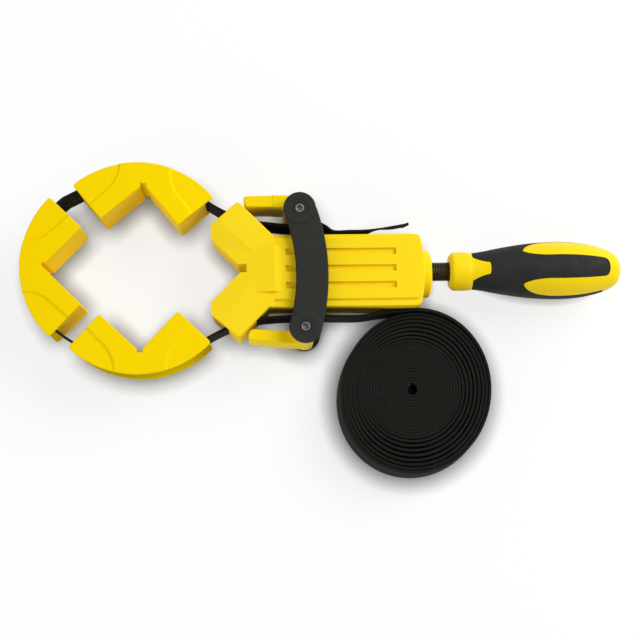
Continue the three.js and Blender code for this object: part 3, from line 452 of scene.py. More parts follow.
def woven(name, colour, crest_colour):
    """Webbing: cross ribs in pairs of warp threads, from the strap's own length and width."""
    rib_pitch = 1.3
    thread_pitch = 1.05
    shader = Shader(name, 0.9, Specular_IOR_Level=0.15)
    flat = shader.node("ShaderNodeTexCoord").outputs["UV"]
    split = shader.node("ShaderNodeSeparateXYZ", {"Vector": flat})
    along, across = split.outputs["X"], split.outputs["Y"]
    column = shader.math("MULTIPLY", across, pi / (thread_pitch * MM))
    shift = shader.math("MULTIPLY", shader.math("SIGN", shader.math("SINE", column)), pi / 2)
    row = shader.math("ADD", shader.math("MULTIPLY", along, tau / (rib_pitch * MM)), shift)
    rib = shader.math("ABSOLUTE", shader.math("SINE", shader.math("MULTIPLY", row, 0.5)))
    thread = shader.math("ABSOLUTE", shader.math("SINE", column))
    weave = shader.math("MULTIPLY", shader.math("POWER", rib, 0.6), shader.math("POWER", thread, 0.45))
    fuzz = shader.noise(2200.0, 3.0, 0.7)
    height = shader.math("ADD", weave, shader.math("MULTIPLY", fuzz, 0.35))
    # the colour is darker in the weave's hollows and lighter on its crests, which is painted shade, with a
    # random tone over it
    painted_weave_shade_and_tone = shader.math("MULTIPLY", weave, shader.ramp(shader.noise(160.0, 4.0, 0.6), 0.55, 1.0))
    shader.set("Base Color", shader.blend(painted_weave_shade_and_tone, linear(*colour), linear(*crest_colour)))
    shader.set("Normal", shader.bump(height, 0.7, 0.22))
    return shader.material


def soft_grip(name, colour, dark):
    shader = Shader(name, 0.7, Specular_IOR_Level=0.25)
    shader.paint(shader.noise(60.0, 5.0, 0.65), colour, dark)
    shader.set("Roughness", shader.ramp(shader.noise(120.0, 5.0, 0.7), 0.62, 0.8))
    fine = shader.bump(shader.noise(3200.0, 2.0), 0.22, 0.12)
    shader.set("Normal", shader.bump(shader.noise(500.0, 3.0), 0.08, 0.2, fine))
    return shader.material


BODY = moulded("moulded body", (251, 219, 34), (248, 213, 26), 0.46)
JAW = moulded("moulded jaw", (251, 218, 4), (247, 211, 1), 0.46)
LEVER = moulded("moulded lever", (248, 217, 18), (244, 210, 10), 0.44)
HANDLE = moulded("moulded handle", (248, 218, 6), (243, 210, 2), 0.42, 0.03, 0.16)
PLATE = moulded("moulded plate", (39, 39, 36), (33, 33, 30), 0.55, 0.12, 0.16)
ANVIL = moulded("moulded anvil", (38, 37, 34), (31, 31, 28), 0.55, 0.1)
GRIP = soft_grip("soft grip", (29, 29, 26), (23, 23, 20))
WEBBING = woven("webbing", (13, 12, 10), (36, 34, 30))
STEEL = metal("zinc steel", (178, 179, 176), (140, 141, 139), 0.32, (1.0, 1.0, 0.2))
RIVET = metal("rivet steel", (112, 113, 110), (84, 85, 83), 0.5, (1.0, 1.0, 0.2))
THREAD = metal("oiled thread steel", (62, 58, 43), (44, 41, 31), 0.45, (0.4, 1.0, 1.0))


def dress(piece, body, slot, material, *nodes):
    piece.data.materials.clear()
    piece.data.materials.append(material)
    if body:
        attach(piece, body)
    if nodes:
        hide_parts(*nodes)


def repaint(material, *nodes):
    for node in nodes:
        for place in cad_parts[node].material_slots:
            place.material = material


# Camera, as the photograph was taken: from above, a little below the clamp's middle

CAMERA_PLACE = (18.8, -123.5, 736.0)
CAMERA_LENS = 74.0
CAMERA_SENSOR = 36.0
CAMERA_NEAR = 0.01
DOWN_IN_VIEW = (-43.0, -180.0, -1316.0)
CAMERA_TURN = radians(-0.8)


def add_camera():
    data = bpy.data.cameras.new("camera")
    configured(data, lens=CAMERA_LENS, sensor_width=CAMERA_SENSOR, clip_start=CAMERA_NEAR)
    camera = in_scene("camera", data)
    lean = Vector(DOWN_IN_VIEW).rotation_difference(Vector((0, 0, -1))).to_matrix()
    turn = Matrix.Rotation(CAMERA_TURN, 3, "Z")
    camera.matrix_world = Matrix.Translation(to_frame(*CAMERA_PLACE)) @ (turn @ lean).to_4x4()
    bpy.context.scene.camera = camera


add_camera()


# Strap

STRAP_PLAY = 0.35
STRAP_SHARP = radians(60)
JAW_STRAP_RADIUS = JAW_RADIUS - JAW_SEAT + STRAP_PLAY + STRAP_THICKNESS / 2
LEFT_PLAY = radians(5.5)
LOOP_STEP = 1.6
ARM_EXIT = (13.0, 26.1)
ARM_LIFT = radians(9)
ARM_HANDLE = 12.0
RUN_END_X = 27.9
RUN_STEP = 1.0
ARM_SLOPE = (ARM_EXIT[1] - PINCH_Y) / (RUN_END_X - ARM_EXIT[0])
ANVIL_REACH = (-5.8, 10.5)
SEAM = 0.05
TAIL_ROUTE = [(46.6, 24.2), (51, 21.2), (60, 21.1), (71, 21.3), (82, 22.8), (92, 24.6)]
TAIL_STEP = 0.6
TAIL_LEAN = radians(11.5)
TAIL_LEAN_REACH = (63, 78)
TAIL_EASE = radians(3)
TAIL_EASE_REACH = (75, 87)
TAIL_SWELL = 0.4
SWELL_SHARES = (0.975, 0.985)
LEAD_ROUTE = [(46.6, -25.2), (56, -25.5), (66, -25.1), (77, -23.2), (86.5, -22.2)]
LEAD_STEP = 1.2
LEAD_DROP = 6.4
LEAD_DROP_SHARES = (0.35, 1.0)


def jaw_axis(jaw):
    return pi / 2 + jaw[2]


def jaw_point(jaw, angle):
    return Vector(polar(JAW_STRAP_RADIUS, angle, jaw))


def link(start, start_way, end, end_way, handle, steps):
    return bezier([start, start + start_way * handle, end - end_way * handle, end], steps)


def arm_start(jaw, side):
    """Where the strap lifts off a jaw's seat on its way to the housing."""
    return jaw_axis(jaw) - side * (pi / 4 - ARM_LIFT)


def touch_angle(jaw, point, side):
    """Where the taut strap from a point beside the jaw meets its seat."""
    reach = point - Vector(jaw[:2])
    angle = atan2(reach.y, reach.x) + side * acos(JAW_STRAP_RADIUS / reach.length)
    return jaw_axis(jaw) + remainder(angle - jaw_axis(jaw), tau)


def arm_stretch(side):
    jaw = JAWS["jaw_top" if side > 0 else "jaw_bottom"]
    angle = arm_start(jaw, side)
    start_way = Vector((side * sin(angle), -side * cos(angle)))
    end = Vector((ARM_EXIT[0], side * ARM_EXIT[1]))
    end_way = Vector((1, -side * ARM_SLOPE)).normalized()
    return link(jaw_point(jaw, angle), start_way, end, end_way, ARM_HANDLE, 28)


def jaw_arc(jaw, start, end):
    return arc(JAW_STRAP_RADIUS, start, end, 40, jaw)


def tilt_outline(points):
    return moved(turned(points, CARRIAGE_TILT), CARRIAGE_X, 0.0)


def tilted(x, y):
    return Vector(tilt_outline([(x, y)])[0])


def anvil_ends(side):
    return [tilted(x, side * PINCH_Y) for x in ANVIL_REACH]


def evenly(points, step):
    """The same line with a point every so many millimetres."""
    line = [Vector(p) for p in points]
    lengths = running((b - a).length for a, b in zip(line, line[1:]))
    count = max(2, round(lengths[-1] / step))
    result = []
    at = 0
    for i in range(count + 1):
        want = lengths[-1] * i / count
        while at < len(line) - 2 and lengths[at + 1] < want:
            at += 1
        span = lengths[at + 1] - lengths[at]
        result.append(line[at].lerp(line[at + 1], (want - lengths[at]) / span if span else 0.0))
    return result


def band(name, route, leans=(), swell=0.0, thickness=STRAP_THICKNESS):
    """The strap along points (x, y, z of its middle), standing on edge, with soft selvedges.

    The leans tell how far it leans over at each point, and the swell how much thicker its cut end is.
    """
    half_t = thickness / 2
    half_w = STRAP_WIDTH / 2
    half = [(-half_t, rise) for rise in (STRAP_EDGE - half_w, -half_w / 3, half_w / 3, half_w - STRAP_EDGE)]
    half += [(STRAP_EDGE - half_t, half_w), (half_t - STRAP_EDGE, half_w)]
    section = half + [(-offset, -rise) for offset, rise in half]
    around = running(dist(a, b) for a, b in zip(section, section[1:] + section[:1]))
    lengths = running(dist(a[:2], b[:2]) for a, b in zip(route, route[1:]))
    vertices = []
    for i, ((x, y, z), way) in enumerate(zip(route, ways(route))):
        thick = 1 + swell * smooth(i / (len(route) - 1), *SWELL_SHARES)
        edges = [(offset * thick, rise) for offset, rise in section]
        for aside, up in turned(edges, leans[i] if leans else 0.0):
            vertices.append(to_frame(x - way.y * aside, y + way.x * aside, z + up))
    count = len(section)
    mesh = bpy.data.meshes.new(name)
    # each face is turned over, because the section runs the other way round
    mesh.from_pydata(vertices, [], [face[:1] + face[:0:-1] for face in tube_faces(len(route), count)])
    layer = mesh.uv_layers.new(name="strap")
    for face in mesh.polygons:
        for corner in face.loop_indices:
            row, k = divmod(mesh.loops[corner].vertex_index, count)
            closing = face.index % count == count - 1 and k == 0
            layer.data[corner].uv = (lengths[row] * MM, around[count if closing else k] * MM)
    mesh.shade_smooth()
    mesh.set_sharp_from_angle(angle=STRAP_SHARP)
    return in_scene(name, mesh), lengths[-1]


def level(points):
    return [(p[0], p[1], MID_Z) for p in points]


def add_strap(part, body, rests_on, route, held="stretched", ends=(), **shape):
    """One stretch of the strap. A stretch with ends reaches from housing to carriage, and is put on no body
    but has its place baked into its mesh.
    """
    piece, length = band("webbing_" + part, route, **shape)
    dress(piece, body, "webbing", WEBBING, "strap_" + part)
    if ends:
        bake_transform(piece)


def strap_loop():
    top, left, bottom = JAWS.values()
    start = jaw_axis(left) - pi / 4 - LEFT_PLAY
    end = jaw_axis(left) + pi / 4
    route = arm_stretch(1)[::-1][:-1]
    route += jaw_arc(top, arm_start(top, 1), touch_angle(top, jaw_point(left, start), -1))
    route += jaw_arc(left, start, end)
    route += jaw_arc(bottom, touch_angle(bottom, jaw_point(left, end), 1), arm_start(bottom, -1))
    route += arm_stretch(-1)[1:]
    add_strap("loop", "housing", "jaw_left", level(evenly(route, LOOP_STEP)))


def strap_run(side, part):
    *_, before, last = (Vector(p) for p in arm_stretch(side))
    front, rear = anvil_ends(side)
    start_way = (last - before).normalized()
    end_way = (rear - front).normalized()
    start = last + start_way * SEAM
    end = front - end_way * SEAM
    route = link(start, start_way, end, end_way, (end - start).length / 3, 24)
    add_strap(part, None, "housing_upper", level(evenly(route, RUN_STEP)), ends=(start, end))


def loose_points(side, route):
    front, rear = anvil_ends(side)
    points = [front, front.lerp(rear, 0.5), rear] + [Vector(p) for p in route]
    return centripetal(points, 120)


def centripetal(points, steps):
    """A smooth line through uneven points that doesn't overshoot between them."""
    points = [points[0] * 2 - points[1]] + points + [points[-1] * 2 - points[-2]]
    knots = running(sqrt((b - a).length) for a, b in zip(points, points[1:]))

    def between(a, b, start, end):
        return a * ((end - at) / (end - start)) + b * ((at - start) / (end - start))

    result = []
    spans = len(points) - 3
    for i in range(steps + 1):
        place = spans * i / steps
        first = min(int(place), spans - 1)
        k = knots[first:first + 4]
        layer = points[first:first + 4]
        at = k[1] + (place - first) * (k[2] - k[1])
        for reach in (1, 2):
            layer = [between(*pair) for pair in zip(layer, layer[1:], k, k[reach:])]
        result.append(between(*layer, k[1], k[2]))
    return result


COIL_THICKNESS = 1.5
COIL_START_PLACE = (87.33, -22.27)
COIL_LOOPS = 23
COIL_EYE = 2.8
COIL_OUTER = 39.3
COIL_START = radians(97)
COIL_LOOSE_TURNS = (0.6, 9)
COIL_LEAN = radians(5)
COIL_LEAN_ANGLE = radians(-80)
COIL_LEAN_TURNS = 0.2
COIL_LIFT = 4.45
COIL_SIDE_LIFT = 2.95
COIL_SIDE_ANGLE = radians(-46)
COIL_OVAL_LIFT = 1.73
COIL_OVAL_ANGLE = radians(-103)
COIL_LEAD_RISE = 0.7
COIL_LEAD_TURNS = 0.48
COIL_SETTLE = 0.3
COIL_STEPS = 90
COIL_WANDER = 0.04
COIL_WANDER_TURNS = (0.3, 1.0)
COIL_HOP = 0.7
COIL_HOP_TURNS = (0.5, 1.5)
# [how fast the noise runs with the turns, the row that it is read from]
WANDER_NOISE = (0.9, 3.7)
HOP_NOISE = (2.3, 9.1)


def drift(turns, pace, row):
    return noise.noise(Vector((turns * pace, row, 0.0)))


def coil_radius(turns):
    angle = COIL_START - tau * turns
    spiral = COIL_OUTER + (COIL_EYE - COIL_OUTER) * turns / COIL_LOOPS
    fade = 1 - smooth(turns, *COIL_LOOSE_TURNS)
    lobe = COIL_LIFT + COIL_SIDE_LIFT * cos(angle - COIL_SIDE_ANGLE)
    lobe += COIL_OVAL_LIFT * cos(2 * (angle - COIL_OVAL_ANGLE))
    rise = COIL_LEAD_RISE * (1 - smooth(turns, 0.0, COIL_LEAD_TURNS))
    return spiral + fade * lobe + rise


def coil_lean(turns):
    """How far the loose loops lean in at the top, most of all on the side away from the lead."""
    angle = COIL_START - tau * turns
    side = 0.5 + 0.5 * cos(angle - COIL_LEAN_ANGLE)
    return COIL_LEAN * side * smooth(turns, 0.0, COIL_LEAN_TURNS) * (1 - smooth(turns, *COIL_LOOSE_TURNS))


def coil_route():
    route = []
    leans = []
    centre = polar(-coil_radius(0.0), COIL_START, COIL_START_PLACE)
    start_z = MID_Z - LEAD_DROP
    for i in range(COIL_LOOPS * COIL_STEPS + 1):
        turns = i / COIL_STEPS
        lean = coil_lean(turns)
        wander = COIL_WANDER * drift(turns, *WANDER_NOISE)
        hop = COIL_HOP * abs(drift(turns, *HOP_NOISE))
        radius = coil_radius(turns) + wander * smooth(turns, *COIL_WANDER_TURNS)
        radius -= STRAP_WIDTH / 2 * sin(lean)
        z = start_z + (STRAP_WIDTH / 2 - start_z) * smooth(turns, 0.0, COIL_SETTLE)
        z += hop * smooth(turns, *COIL_HOP_TURNS)
        route.append((*polar(radius, COIL_START - tau * turns, centre), z))
        leans.append(lean)
    return route, leans


def strap_tail():
    route = []
    leans = []
    for x, y in evenly(loose_points(1, TAIL_ROUTE), TAIL_STEP):
        lean = TAIL_LEAN * smooth(x, *TAIL_LEAN_REACH) - TAIL_EASE * smooth(x, *TAIL_EASE_REACH)
        # the upper edge keeps its place and the lower one swings out
        route.append((x, y + STRAP_WIDTH / 2 * sin(lean), MID_Z))
        leans.append(lean)
    add_strap("tail", "carriage", "anvil_upper", route, leans=leans, swell=TAIL_SWELL)


def strap_lead_and_coil():
    coil, leans = coil_route()
    start = Vector(coil[0][:2])
    way = (Vector(coil[1][:2]) - start).normalized()
    flat = evenly(loose_points(-1, LEAD_ROUTE + [start - way * SEAM]), LEAD_STEP)
    drops = [LEAD_DROP * smooth(i / (len(flat) - 1), *LEAD_DROP_SHARES) for i in range(len(flat))]
    lead = [(p.x, p.y, MID_Z - drop) for p, drop in zip(flat, drops)]
    add_strap("lead", "carriage", "anvil_lower", lead)
    add_strap("coil", "carriage", "webbing_lead", coil, "laid", leans=leans, thickness=COIL_THICKNESS)


strap_loop()
strap_run(1, "run_upper")
strap_run(-1, "run_lower")
strap_tail()
strap_lead_and_coil()


# Jaws

# the side of the raised middle panel, from outside the rim to past the end face, as shares of the radius
PANEL_SIDE_SHARES = [
    (0.268, 1.06), (0.258, 0.955), (0.265, 0.87), (0.297, 0.778),
    (0.35, 0.7), (0.425, 0.62), (0.505, 0.53), (0.59, 0.43),
]
PANEL_FOOT_SHARE = 0.2
PANEL_RAMP = 0.7
PANEL_STEPS = 6
JAW_TIP_REACH = 1.3
JAW_CORNER_REACH = 1.8
JAW_EDGE = 0.6


def jaw_outline():
    """The quarter ring, with a notch where its faces meet."""
    tip = (JAW_RADIUS - JAW_FACE) / sqrt(2)
    corner = JAW_RADIUS / sqrt(2)
    half = JAW_NOTCH / 2
    apex = 2 * tip - half
    deep = apex + JAW_NOTCH_DEPTH
    rim = [(x, y, 0) for x, y in arc(JAW_RADIUS, pi / 4, 3 * pi / 4, 60)[2:-2]]
    right = [(tip, tip, JAW_TIP_REACH), (corner, corner, JAW_CORNER_REACH)]
    left = [(-x, y, reach) for x, y, reach in reversed(right)]
    notch = [(-half, apex, 0), (-half, deep, 0), (half, deep, 0), (half, apex, 0)]
    return rounded_outline(right + rim + left + notch)


def jaw_panel(jaw):
    """The middle panel, which runs out on a soft ramp along both sides."""
    side = catmull([(x * JAW_RADIUS, y * JAW_RADIUS) for x, y in reversed(PANEL_SIDE_SHARES)], 56)
    foot = PANEL_FOOT_SHARE * JAW_RADIUS
    outline = placed([(foot, foot)] + side + [(-x, y) for x, y in reversed(side)] + [(-foot, foot)], jaw)
    swings = [cos(pi * i / PANEL_STEPS) for i in range(PANEL_STEPS + 1)]
    layers = [(PANEL_RAMP * swing, JAW_PANEL * (1 - swing) / 2) for swing in swings]
    return layered("panel", outline, BODY_LOW, BODY_HIGH, layers)


def placed(points, jaw):
    return moved(turned(points, jaw[2]), jaw[0], jaw[1])


def add_jaw(name, jaw):
    outline = placed(jaw_outline(), jaw)
    piece = slab(name + "_shape", outline, BODY_LOW + JAW_PANEL, BODY_HIGH - JAW_PANEL, JAW_EDGE, 3)
    whole = slab("whole", outline, BODY_LOW, BODY_HIGH, JAW_EDGE, 3)
    join(piece, boolean(jaw_panel(jaw), "INTERSECT", whole))
    rim = arc(JAW_RADIUS + OVERRUN, 0, tau, 120, jaw)[1:]
    web = arc(JAW_RADIUS - JAW_SEAT, 0, tau, 160, jaw)[1:]
    ring = slab("ring", rim, MID_Z - GROOVE_HALF, MID_Z + GROOVE_HALF)
    cut(piece, cut(ring, slab("core", web, BODY_LOW, BODY_HIGH)))
    soften(piece, width=0.2, segments=1)
    dress(piece, name, "yellow_jaw", JAW, name)


for jaw_name, jaw_place in JAWS.items():
    add_jaw(jaw_name, jaw_place)


# Housing

V_CORNER_X = 2.1
V_FACE = 24.7
V_SHOULDER = 7.0
V_END = 19.6
V_ROUND = 1.8
V_END_ANGLE = radians(41)
V_REAR = 18.6
V_SLOPE_WIDTH = 10.5
V_SLOPE_DROP = 2.8
V_SLOPE_REACH = 34.0
V_PAD_HALF = 12.6
V_PAD_REAR = 19.0
V_PAD_RISE = 1.6
V_PAD_FOOT = 22.5
RELIEF_REACH = 1.8
RELIEF_SIDES = (-1.7, 2.9)
BOSS_RADIUS = 12.8
BOSS_FRONT = 87.0
BOSS_REAR = 105.5
BOSS_SHIFT = 1.4
# [how far before the boss's rear, how far in from its radius]
BOSS_NOSE = [(2.9, 0), (1.9, 0.3), (1.2, 1.3), (0.5, 4.0), (0, 8.8)]
CHANNEL_ROOM = 0.7
SHELL_WALL = 2.8
CAVITY_REACH = (22.8, 84.0)
CAVITY_HALF = 13.2
SLOT_REACH = (28.0, 78.0)
SLOT_HALF = 6.5
BORE_RADIUS = 5.7
BORE_REACH = (82.0, 108.0)
NUT_RADIUS = 10.1
NUT_REACH = (86.7, 96.3)
GROOVE_REACH = (24.9, 84.8)
GROOVE_DEPTH = 1.6
GROOVE_WIDTH = 3.5
GROOVE_PITCH = 9.15
SCREWS = [(15.0, 9.5), (15.0, -9.5), (91.5, 12.5), (91.5, -12.5)]
SCREW_SEAT = BODY_LOW + 4.2
SHANK_RADIUS = 1.9
SHANK_LENGTH = 21.3
HEAD_RADIUS = 3.4
# [height over the seat of the screw's head, radius]
SCREW_PROFILE = [
    (21, 0.2), (19.5, 1.6), (0, 1.6), (0, 3.1), (-1.5, 3.1), (-2.1, 2.7), (-2.4, 1.9), (-2.45, 0.4),
]
CROSS_REACH = 2.1
CROSS_HALF = 0.5
CROSS_FLOOR = 1.1


def v_outline():
    rise = V_FACE / sqrt(2)
    face = (V_CORNER_X - rise, rise)
    shoulder = (face[0], face[1] + V_SHOULDER)
    tip = polar(V_END, V_END_ANGLE, shoulder)

    def wing(half_width):
        rear = (tip[0] + tip[1] - half_width, half_width)
        corners = [(*point, V_ROUND) for point in (face, shoulder, tip)]
        return corners + [(*rear, 0), (V_REAR, half_width, 0)]

    upper = [(V_CORNER_X, 0, 0)] + wing(BODY_HALF - BODY_SHIFT)
    lower = [(x, -y, reach) for x, y, reach in reversed(wing(BODY_HALF + BODY_SHIFT))]
    return rounded_outline((upper + lower)[::-1])


def body_outline(half_width):
    corners = [(BODY_FRONT, half_width, 0), (BODY_REAR, half_width, BODY_ROUND), (BODY_REAR, 0, 0)]
    corner = rounded_outline(corners, 8)[:-1]
    last = corner[-1]
    bulge = bezier([last, (BODY_REAR + BODY_BULGE, 0), (last[0], -last[1])], 20)[1:-1]
    return (corner + bulge + mirror_y(corner))[::-1]


def front_slopes(base, up):
    """Tools for the even bands that fall off towards the V's faces."""
    near = Vector((V_CORNER_X + V_SLOPE_WIDTH * sqrt(2), 0.0))
    wide = V_SLOPE_WIDTH + OVERRUN
    profile = [(0, 0), (V_SLOPE_WIDTH, -V_SLOPE_DROP), (wide, -V_SLOPE_DROP), (wide, OVERRUN), (0, OVERRUN)]
    tools = []
    for side in (1, -1):
        way = Vector((-1, -side)).normalized()
        places = (near, near + Vector((-1, side)) * V_SLOPE_REACH)
        ends = [[(*(place + way * reach), base + rise * up) for reach, rise in profile] for place in places]
        tools.append(prism("slope", *ends))
    return tools


def front_pad(base, up):
    """The pad over the block's middle, which rises from the V's faces and falls off to the rear."""
    front = V_CORNER_X - V_PAD_HALF
    root = -2 * V_SLOPE_DROP
    side = [(front, -V_SLOPE_DROP), (V_PAD_REAR, V_PAD_RISE), (V_PAD_FOOT, 0), (V_PAD_FOOT, root)]
    side.append((front, root))
    ends = [[(x, y, base + rise * up) for x, rise in side] for y in (-V_PAD_HALF, V_PAD_HALF)]
    pad = prism("pad", *ends)
    edge = V_PAD_HALF + OVERRUN
    upper = [(V_CORNER_X - edge, edge), (V_PAD_FOOT + OVERRUN, edge)]
    inside = [(V_CORNER_X, 0)] + upper + mirror_y(upper)
    return boolean(pad, "INTERSECT", slab("inside", inside, BODY_LOW - edge, BODY_HIGH + edge))


def channel(side):
    route = [Vector(p) for p in arm_stretch(side)]
    line = [route[0] * 2 - route[1]] + route + [route[-1] * 2 - route[-2]]
    half = STRAP_THICKNESS / 2 + CHANNEL_ROOM
    left, right = (
        [(here.x - way.y * aside, here.y + way.x * aside) for here, way in zip(line, ways(line))]
        for aside in (half, -half)
    )
    return slab("channel", left + right[::-1], MID_Z - GROOVE_HALF, MID_Z + GROOVE_HALF)


def screw_box(name, reach, half_width, half_height):
    """A box with the screw's line in its middle."""
    low = (reach[0], -half_width, MID_Z - half_height)
    return box(name, low, (reach[1], half_width, MID_Z + half_height))


def housing_half(name, up):
    edge_z = BODY_HIGH if up > 0 else BODY_LOW
    panel_half = BODY_HALF - LEDGE_WIDTH
    sides = (BODY_LOW + LEDGE_DROP, BODY_HIGH - LEDGE_DROP)
    boss = [(BOSS_FRONT, BOSS_RADIUS)] + [(BOSS_REAR - back, BOSS_RADIUS - drop) for back, drop in BOSS_NOSE]
    piece = slab(name + "_shape", moved(body_outline(BODY_HALF), 0, -BODY_SHIFT), *sides, BODY_EDGE)
    join(
        piece,
        slab("panel", body_outline(panel_half), BODY_LOW, BODY_HIGH, PANEL_EDGE),
        slab("front", v_outline(), BODY_LOW, BODY_HIGH, BODY_EDGE),
        lathe("boss", boss, 96, "X", (0.0, -BOSS_SHIFT, MID_Z)),
    )
    cut(piece, *front_slopes(edge_z, up))
    join(piece, front_pad(edge_z, up))
    relief_low = (V_CORNER_X - 2 * OVERRUN, RELIEF_SIDES[0], 0)
    relief_high = (V_CORNER_X + RELIEF_REACH, RELIEF_SIDES[1], PLATE_TOP)
    cut(
        piece,
        channel(1),
        channel(-1),
        screw_box("cavity", CAVITY_REACH, panel_half - SHELL_WALL, CAVITY_HALF),
        screw_box("slots", SLOT_REACH, BODY_HALF + OVERRUN, SLOT_HALF),
        box("relief", relief_low, relief_high),
        rod_x("bore", BORE_RADIUS, *BORE_REACH, 64),
        rod_x("nut", NUT_RADIUS, *NUT_REACH, 6),
    )
    groove_low = BODY_HIGH - GROOVE_DEPTH if up > 0 else BODY_LOW - OVERRUN
    groove_high = groove_low + GROOVE_DEPTH + OVERRUN
    for row in (-1, 0, 1):
        low_y = row * GROOVE_PITCH - GROOVE_WIDTH / 2
        low = (GROOVE_REACH[0], low_y, groove_low)
        cut(piece, box("groove", low, (GROOVE_REACH[1], low_y + GROOVE_WIDTH, groove_high)))
    for x, y in SCREWS:
        cut(piece, rod_z("shank", SHANK_RADIUS, x, y, SCREW_SEAT, SCREW_SEAT + SHANK_LENGTH))
        if up < 0:
            cut(piece, rod_z("head", HEAD_RADIUS, x, y, BODY_LOW - OVERRUN, SCREW_SEAT + 2 * GAP))
    low_z, high_z = (0, MID_Z + GAP) if up > 0 else (MID_Z - GAP, PLATE_TOP)
    cut(piece, box("other", (-FAR, -FAR, low_z), (FAR, FAR, high_z)))
    soften(piece, width=0.4)
    dress(piece, "housing", "yellow_body", BODY, name)


housing_half("housing_upper", 1)
housing_half("housing_lower", -1)


def housing_screw(number, x, y):
    """A pan-head screw in its counterbore, with a cross recess."""
    profile = [(SCREW_SEAT + rise, radius) for rise, radius in SCREW_PROFILE]
    piece = lathe(f"screw_{number}", profile, 40, "Z", (x, y, 0.0))
    for size_x, size_y in ((CROSS_REACH, CROSS_HALF), (CROSS_HALF, CROSS_REACH)):
        low = (x - size_x, y - size_y, SCREW_SEAT - 2 * OVERRUN)
        cut(piece, box("recess", low, (x + size_x, y + size_y, SCREW_SEAT - CROSS_FLOOR)))
    soften(piece, width=0.12, segments=1, angle=40)
    dress(piece, "housing", "steel", STEEL, f"housing_screw_{number}")


for screw_number, (screw_x, screw_y) in enumerate(SCREWS, 1):
    housing_screw(screw_number, screw_x, screw_y)


# Carriage

PLATE_BOW = 5.1
PLATE_HALF = 8.7
PLATE_END = 8.8
PLATE_EDGE = 0.9
PLATE_BAND_DROP = 0.6
RECESS_RADIUS = 4.6
RECESS_DEPTH = 0.35
SEAT_RADIUS = 3.0
SEAT_DEPTH = 1.2
PIVOT_BORE = 2.3
# one end of the tubular rivet: [depth below the recess's floor, radius]
RIVET_PROFILE = [
    (2.2, 0.05), (1.9, 1.1), (0.45, 1.25), (0.12, 1.5), (0, 1.95), (0.1, 2.4), (0.4, 2.65), (0.9, 2.65),
    (0.95, 2.0),
]


def plate_band():
    radius = (PIVOT_Y ** 2 + PLATE_BOW ** 2) / (2 * PLATE_BOW)
    centre = (PLATE_BOW - radius, 0.0)
    half = asin(PIVOT_Y / radius)
    outer = arc(radius + PLATE_HALF, -half, half, 60, centre)
    inner = arc(radius - PLATE_HALF, half, -half, 60, centre)
    upper = arc(PLATE_HALF, half, pi + half, 16, (0.0, PIVOT_Y))[1:-1]
    lower = arc(PLATE_HALF, pi - half, tau - half, 16, (0.0, -PIVOT_Y))[1:-1]
    return outer + upper + inner + lower


def add_plate(node, low, top):
    high = low + PLATE_THICKNESS
    outside, up = (high, 1) if top else (low, -1)
    floor = outside - up * RECESS_DEPTH
    band_high = high - PLATE_BAND_DROP if top else high
    piece = slab(node + "_shape", tilt_outline(plate_band()), low, band_high, PLATE_EDGE)
    for side in (1, -1):
        end = arc(PLATE_END, 0, tau, 72, (0.0, side * PIVOT_Y))[1:]
        join(piece, slab("end", tilt_outline(end), low, high, PLATE_EDGE))
    for side in (1, -1):
        pivot = tilted(0, side * PIVOT_Y)
        for radius, deep, steps in ((RECESS_RADIUS, floor, 72), (SEAT_RADIUS, floor - up * SEAT_DEPTH, 48)):
            ends = sorted((deep, outside + up * OVERRUN))
            cut(piece, rod_z("recess", radius, *pivot, *ends, steps))
        cut(piece, rod_z("bore", PIVOT_BORE, *pivot, low - OVERRUN, high + OVERRUN))
    soften(piece, width=0.2)
    dress(piece, "carriage", "black_plate", PLATE, node)


add_plate("bridge_plate_top", PLATE_TOP - PLATE_THICKNESS, True)
add_plate("bridge_plate_bottom", 0.0, False)


def add_rivet(node, side):
    """A tubular rivet with rolled ends."""
    half = [(RECESS_DEPTH + depth, radius) for depth, radius in RIVET_PROFILE]
    profile = half + [(PLATE_TOP - z, radius) for z, radius in reversed(half)]
    piece = lathe(node + "_turned", profile, 48, "Z", (*tilted(0, side * PIVOT_Y), 0.0))
    shade(piece, angle=50)
    dress(piece, "carriage", "steel", RIVET, node)


add_rivet("rivet_upper", 1)
add_rivet("rivet_lower", -1)
repaint(ANVIL, "anvil_upper", "anvil_lower")
repaint(STEEL, "crossbar", "thrust_washer", "retaining_clip", "spindle_nut")


# Cam levers

LEVER_REACH = 30.3
LEVER_INNER = 2.2
LEVER_OUTER = 9.0
LEVER_HALF = 12.75
LEVER_EDGE = 0.9
LEVER_TAPER = 0.3
LEVER_ROUND = 1.8
LEVER_TIP_ROUND = 3.4
HEEL_REACH = 14.5
HEEL_RISE = 0.4
HEEL_EDGE = 0.5
HUB_OUTER = 8.6
CAM_RADIUS = 6.45
CAM_LOW = 5.2
CAM_KNOTS = [(-180, HUB_OUTER), (-150, CAM_RADIUS), (-90, CAM_RADIUS), (0, CAM_LOW), (28, CAM_LOW + 0.3),
             (62, HUB_OUTER), (180, HUB_OUTER)]
CAM_TOOTH = 0.35
CAM_TOOTH_PITCH = 16.0
CAM_TOOTH_REACH = (-140, 0)
HUB_STEPS = 180
LOWER_TURN = radians(-5)


def hub_radius(degrees):
    for (start, first), (end, second) in zip(CAM_KNOTS, CAM_KNOTS[1:]):
        if degrees <= end:
            share = smooth(degrees, start, end)
            break
    toothed = CAM_TOOTH_REACH[0] < degrees < CAM_TOOTH_REACH[1]
    tooth = CAM_TOOTH * (0.5 + 0.5 * cos(tau * degrees / CAM_TOOTH_PITCH)) if toothed else 0.0
    return first + (second - first) * share - tooth


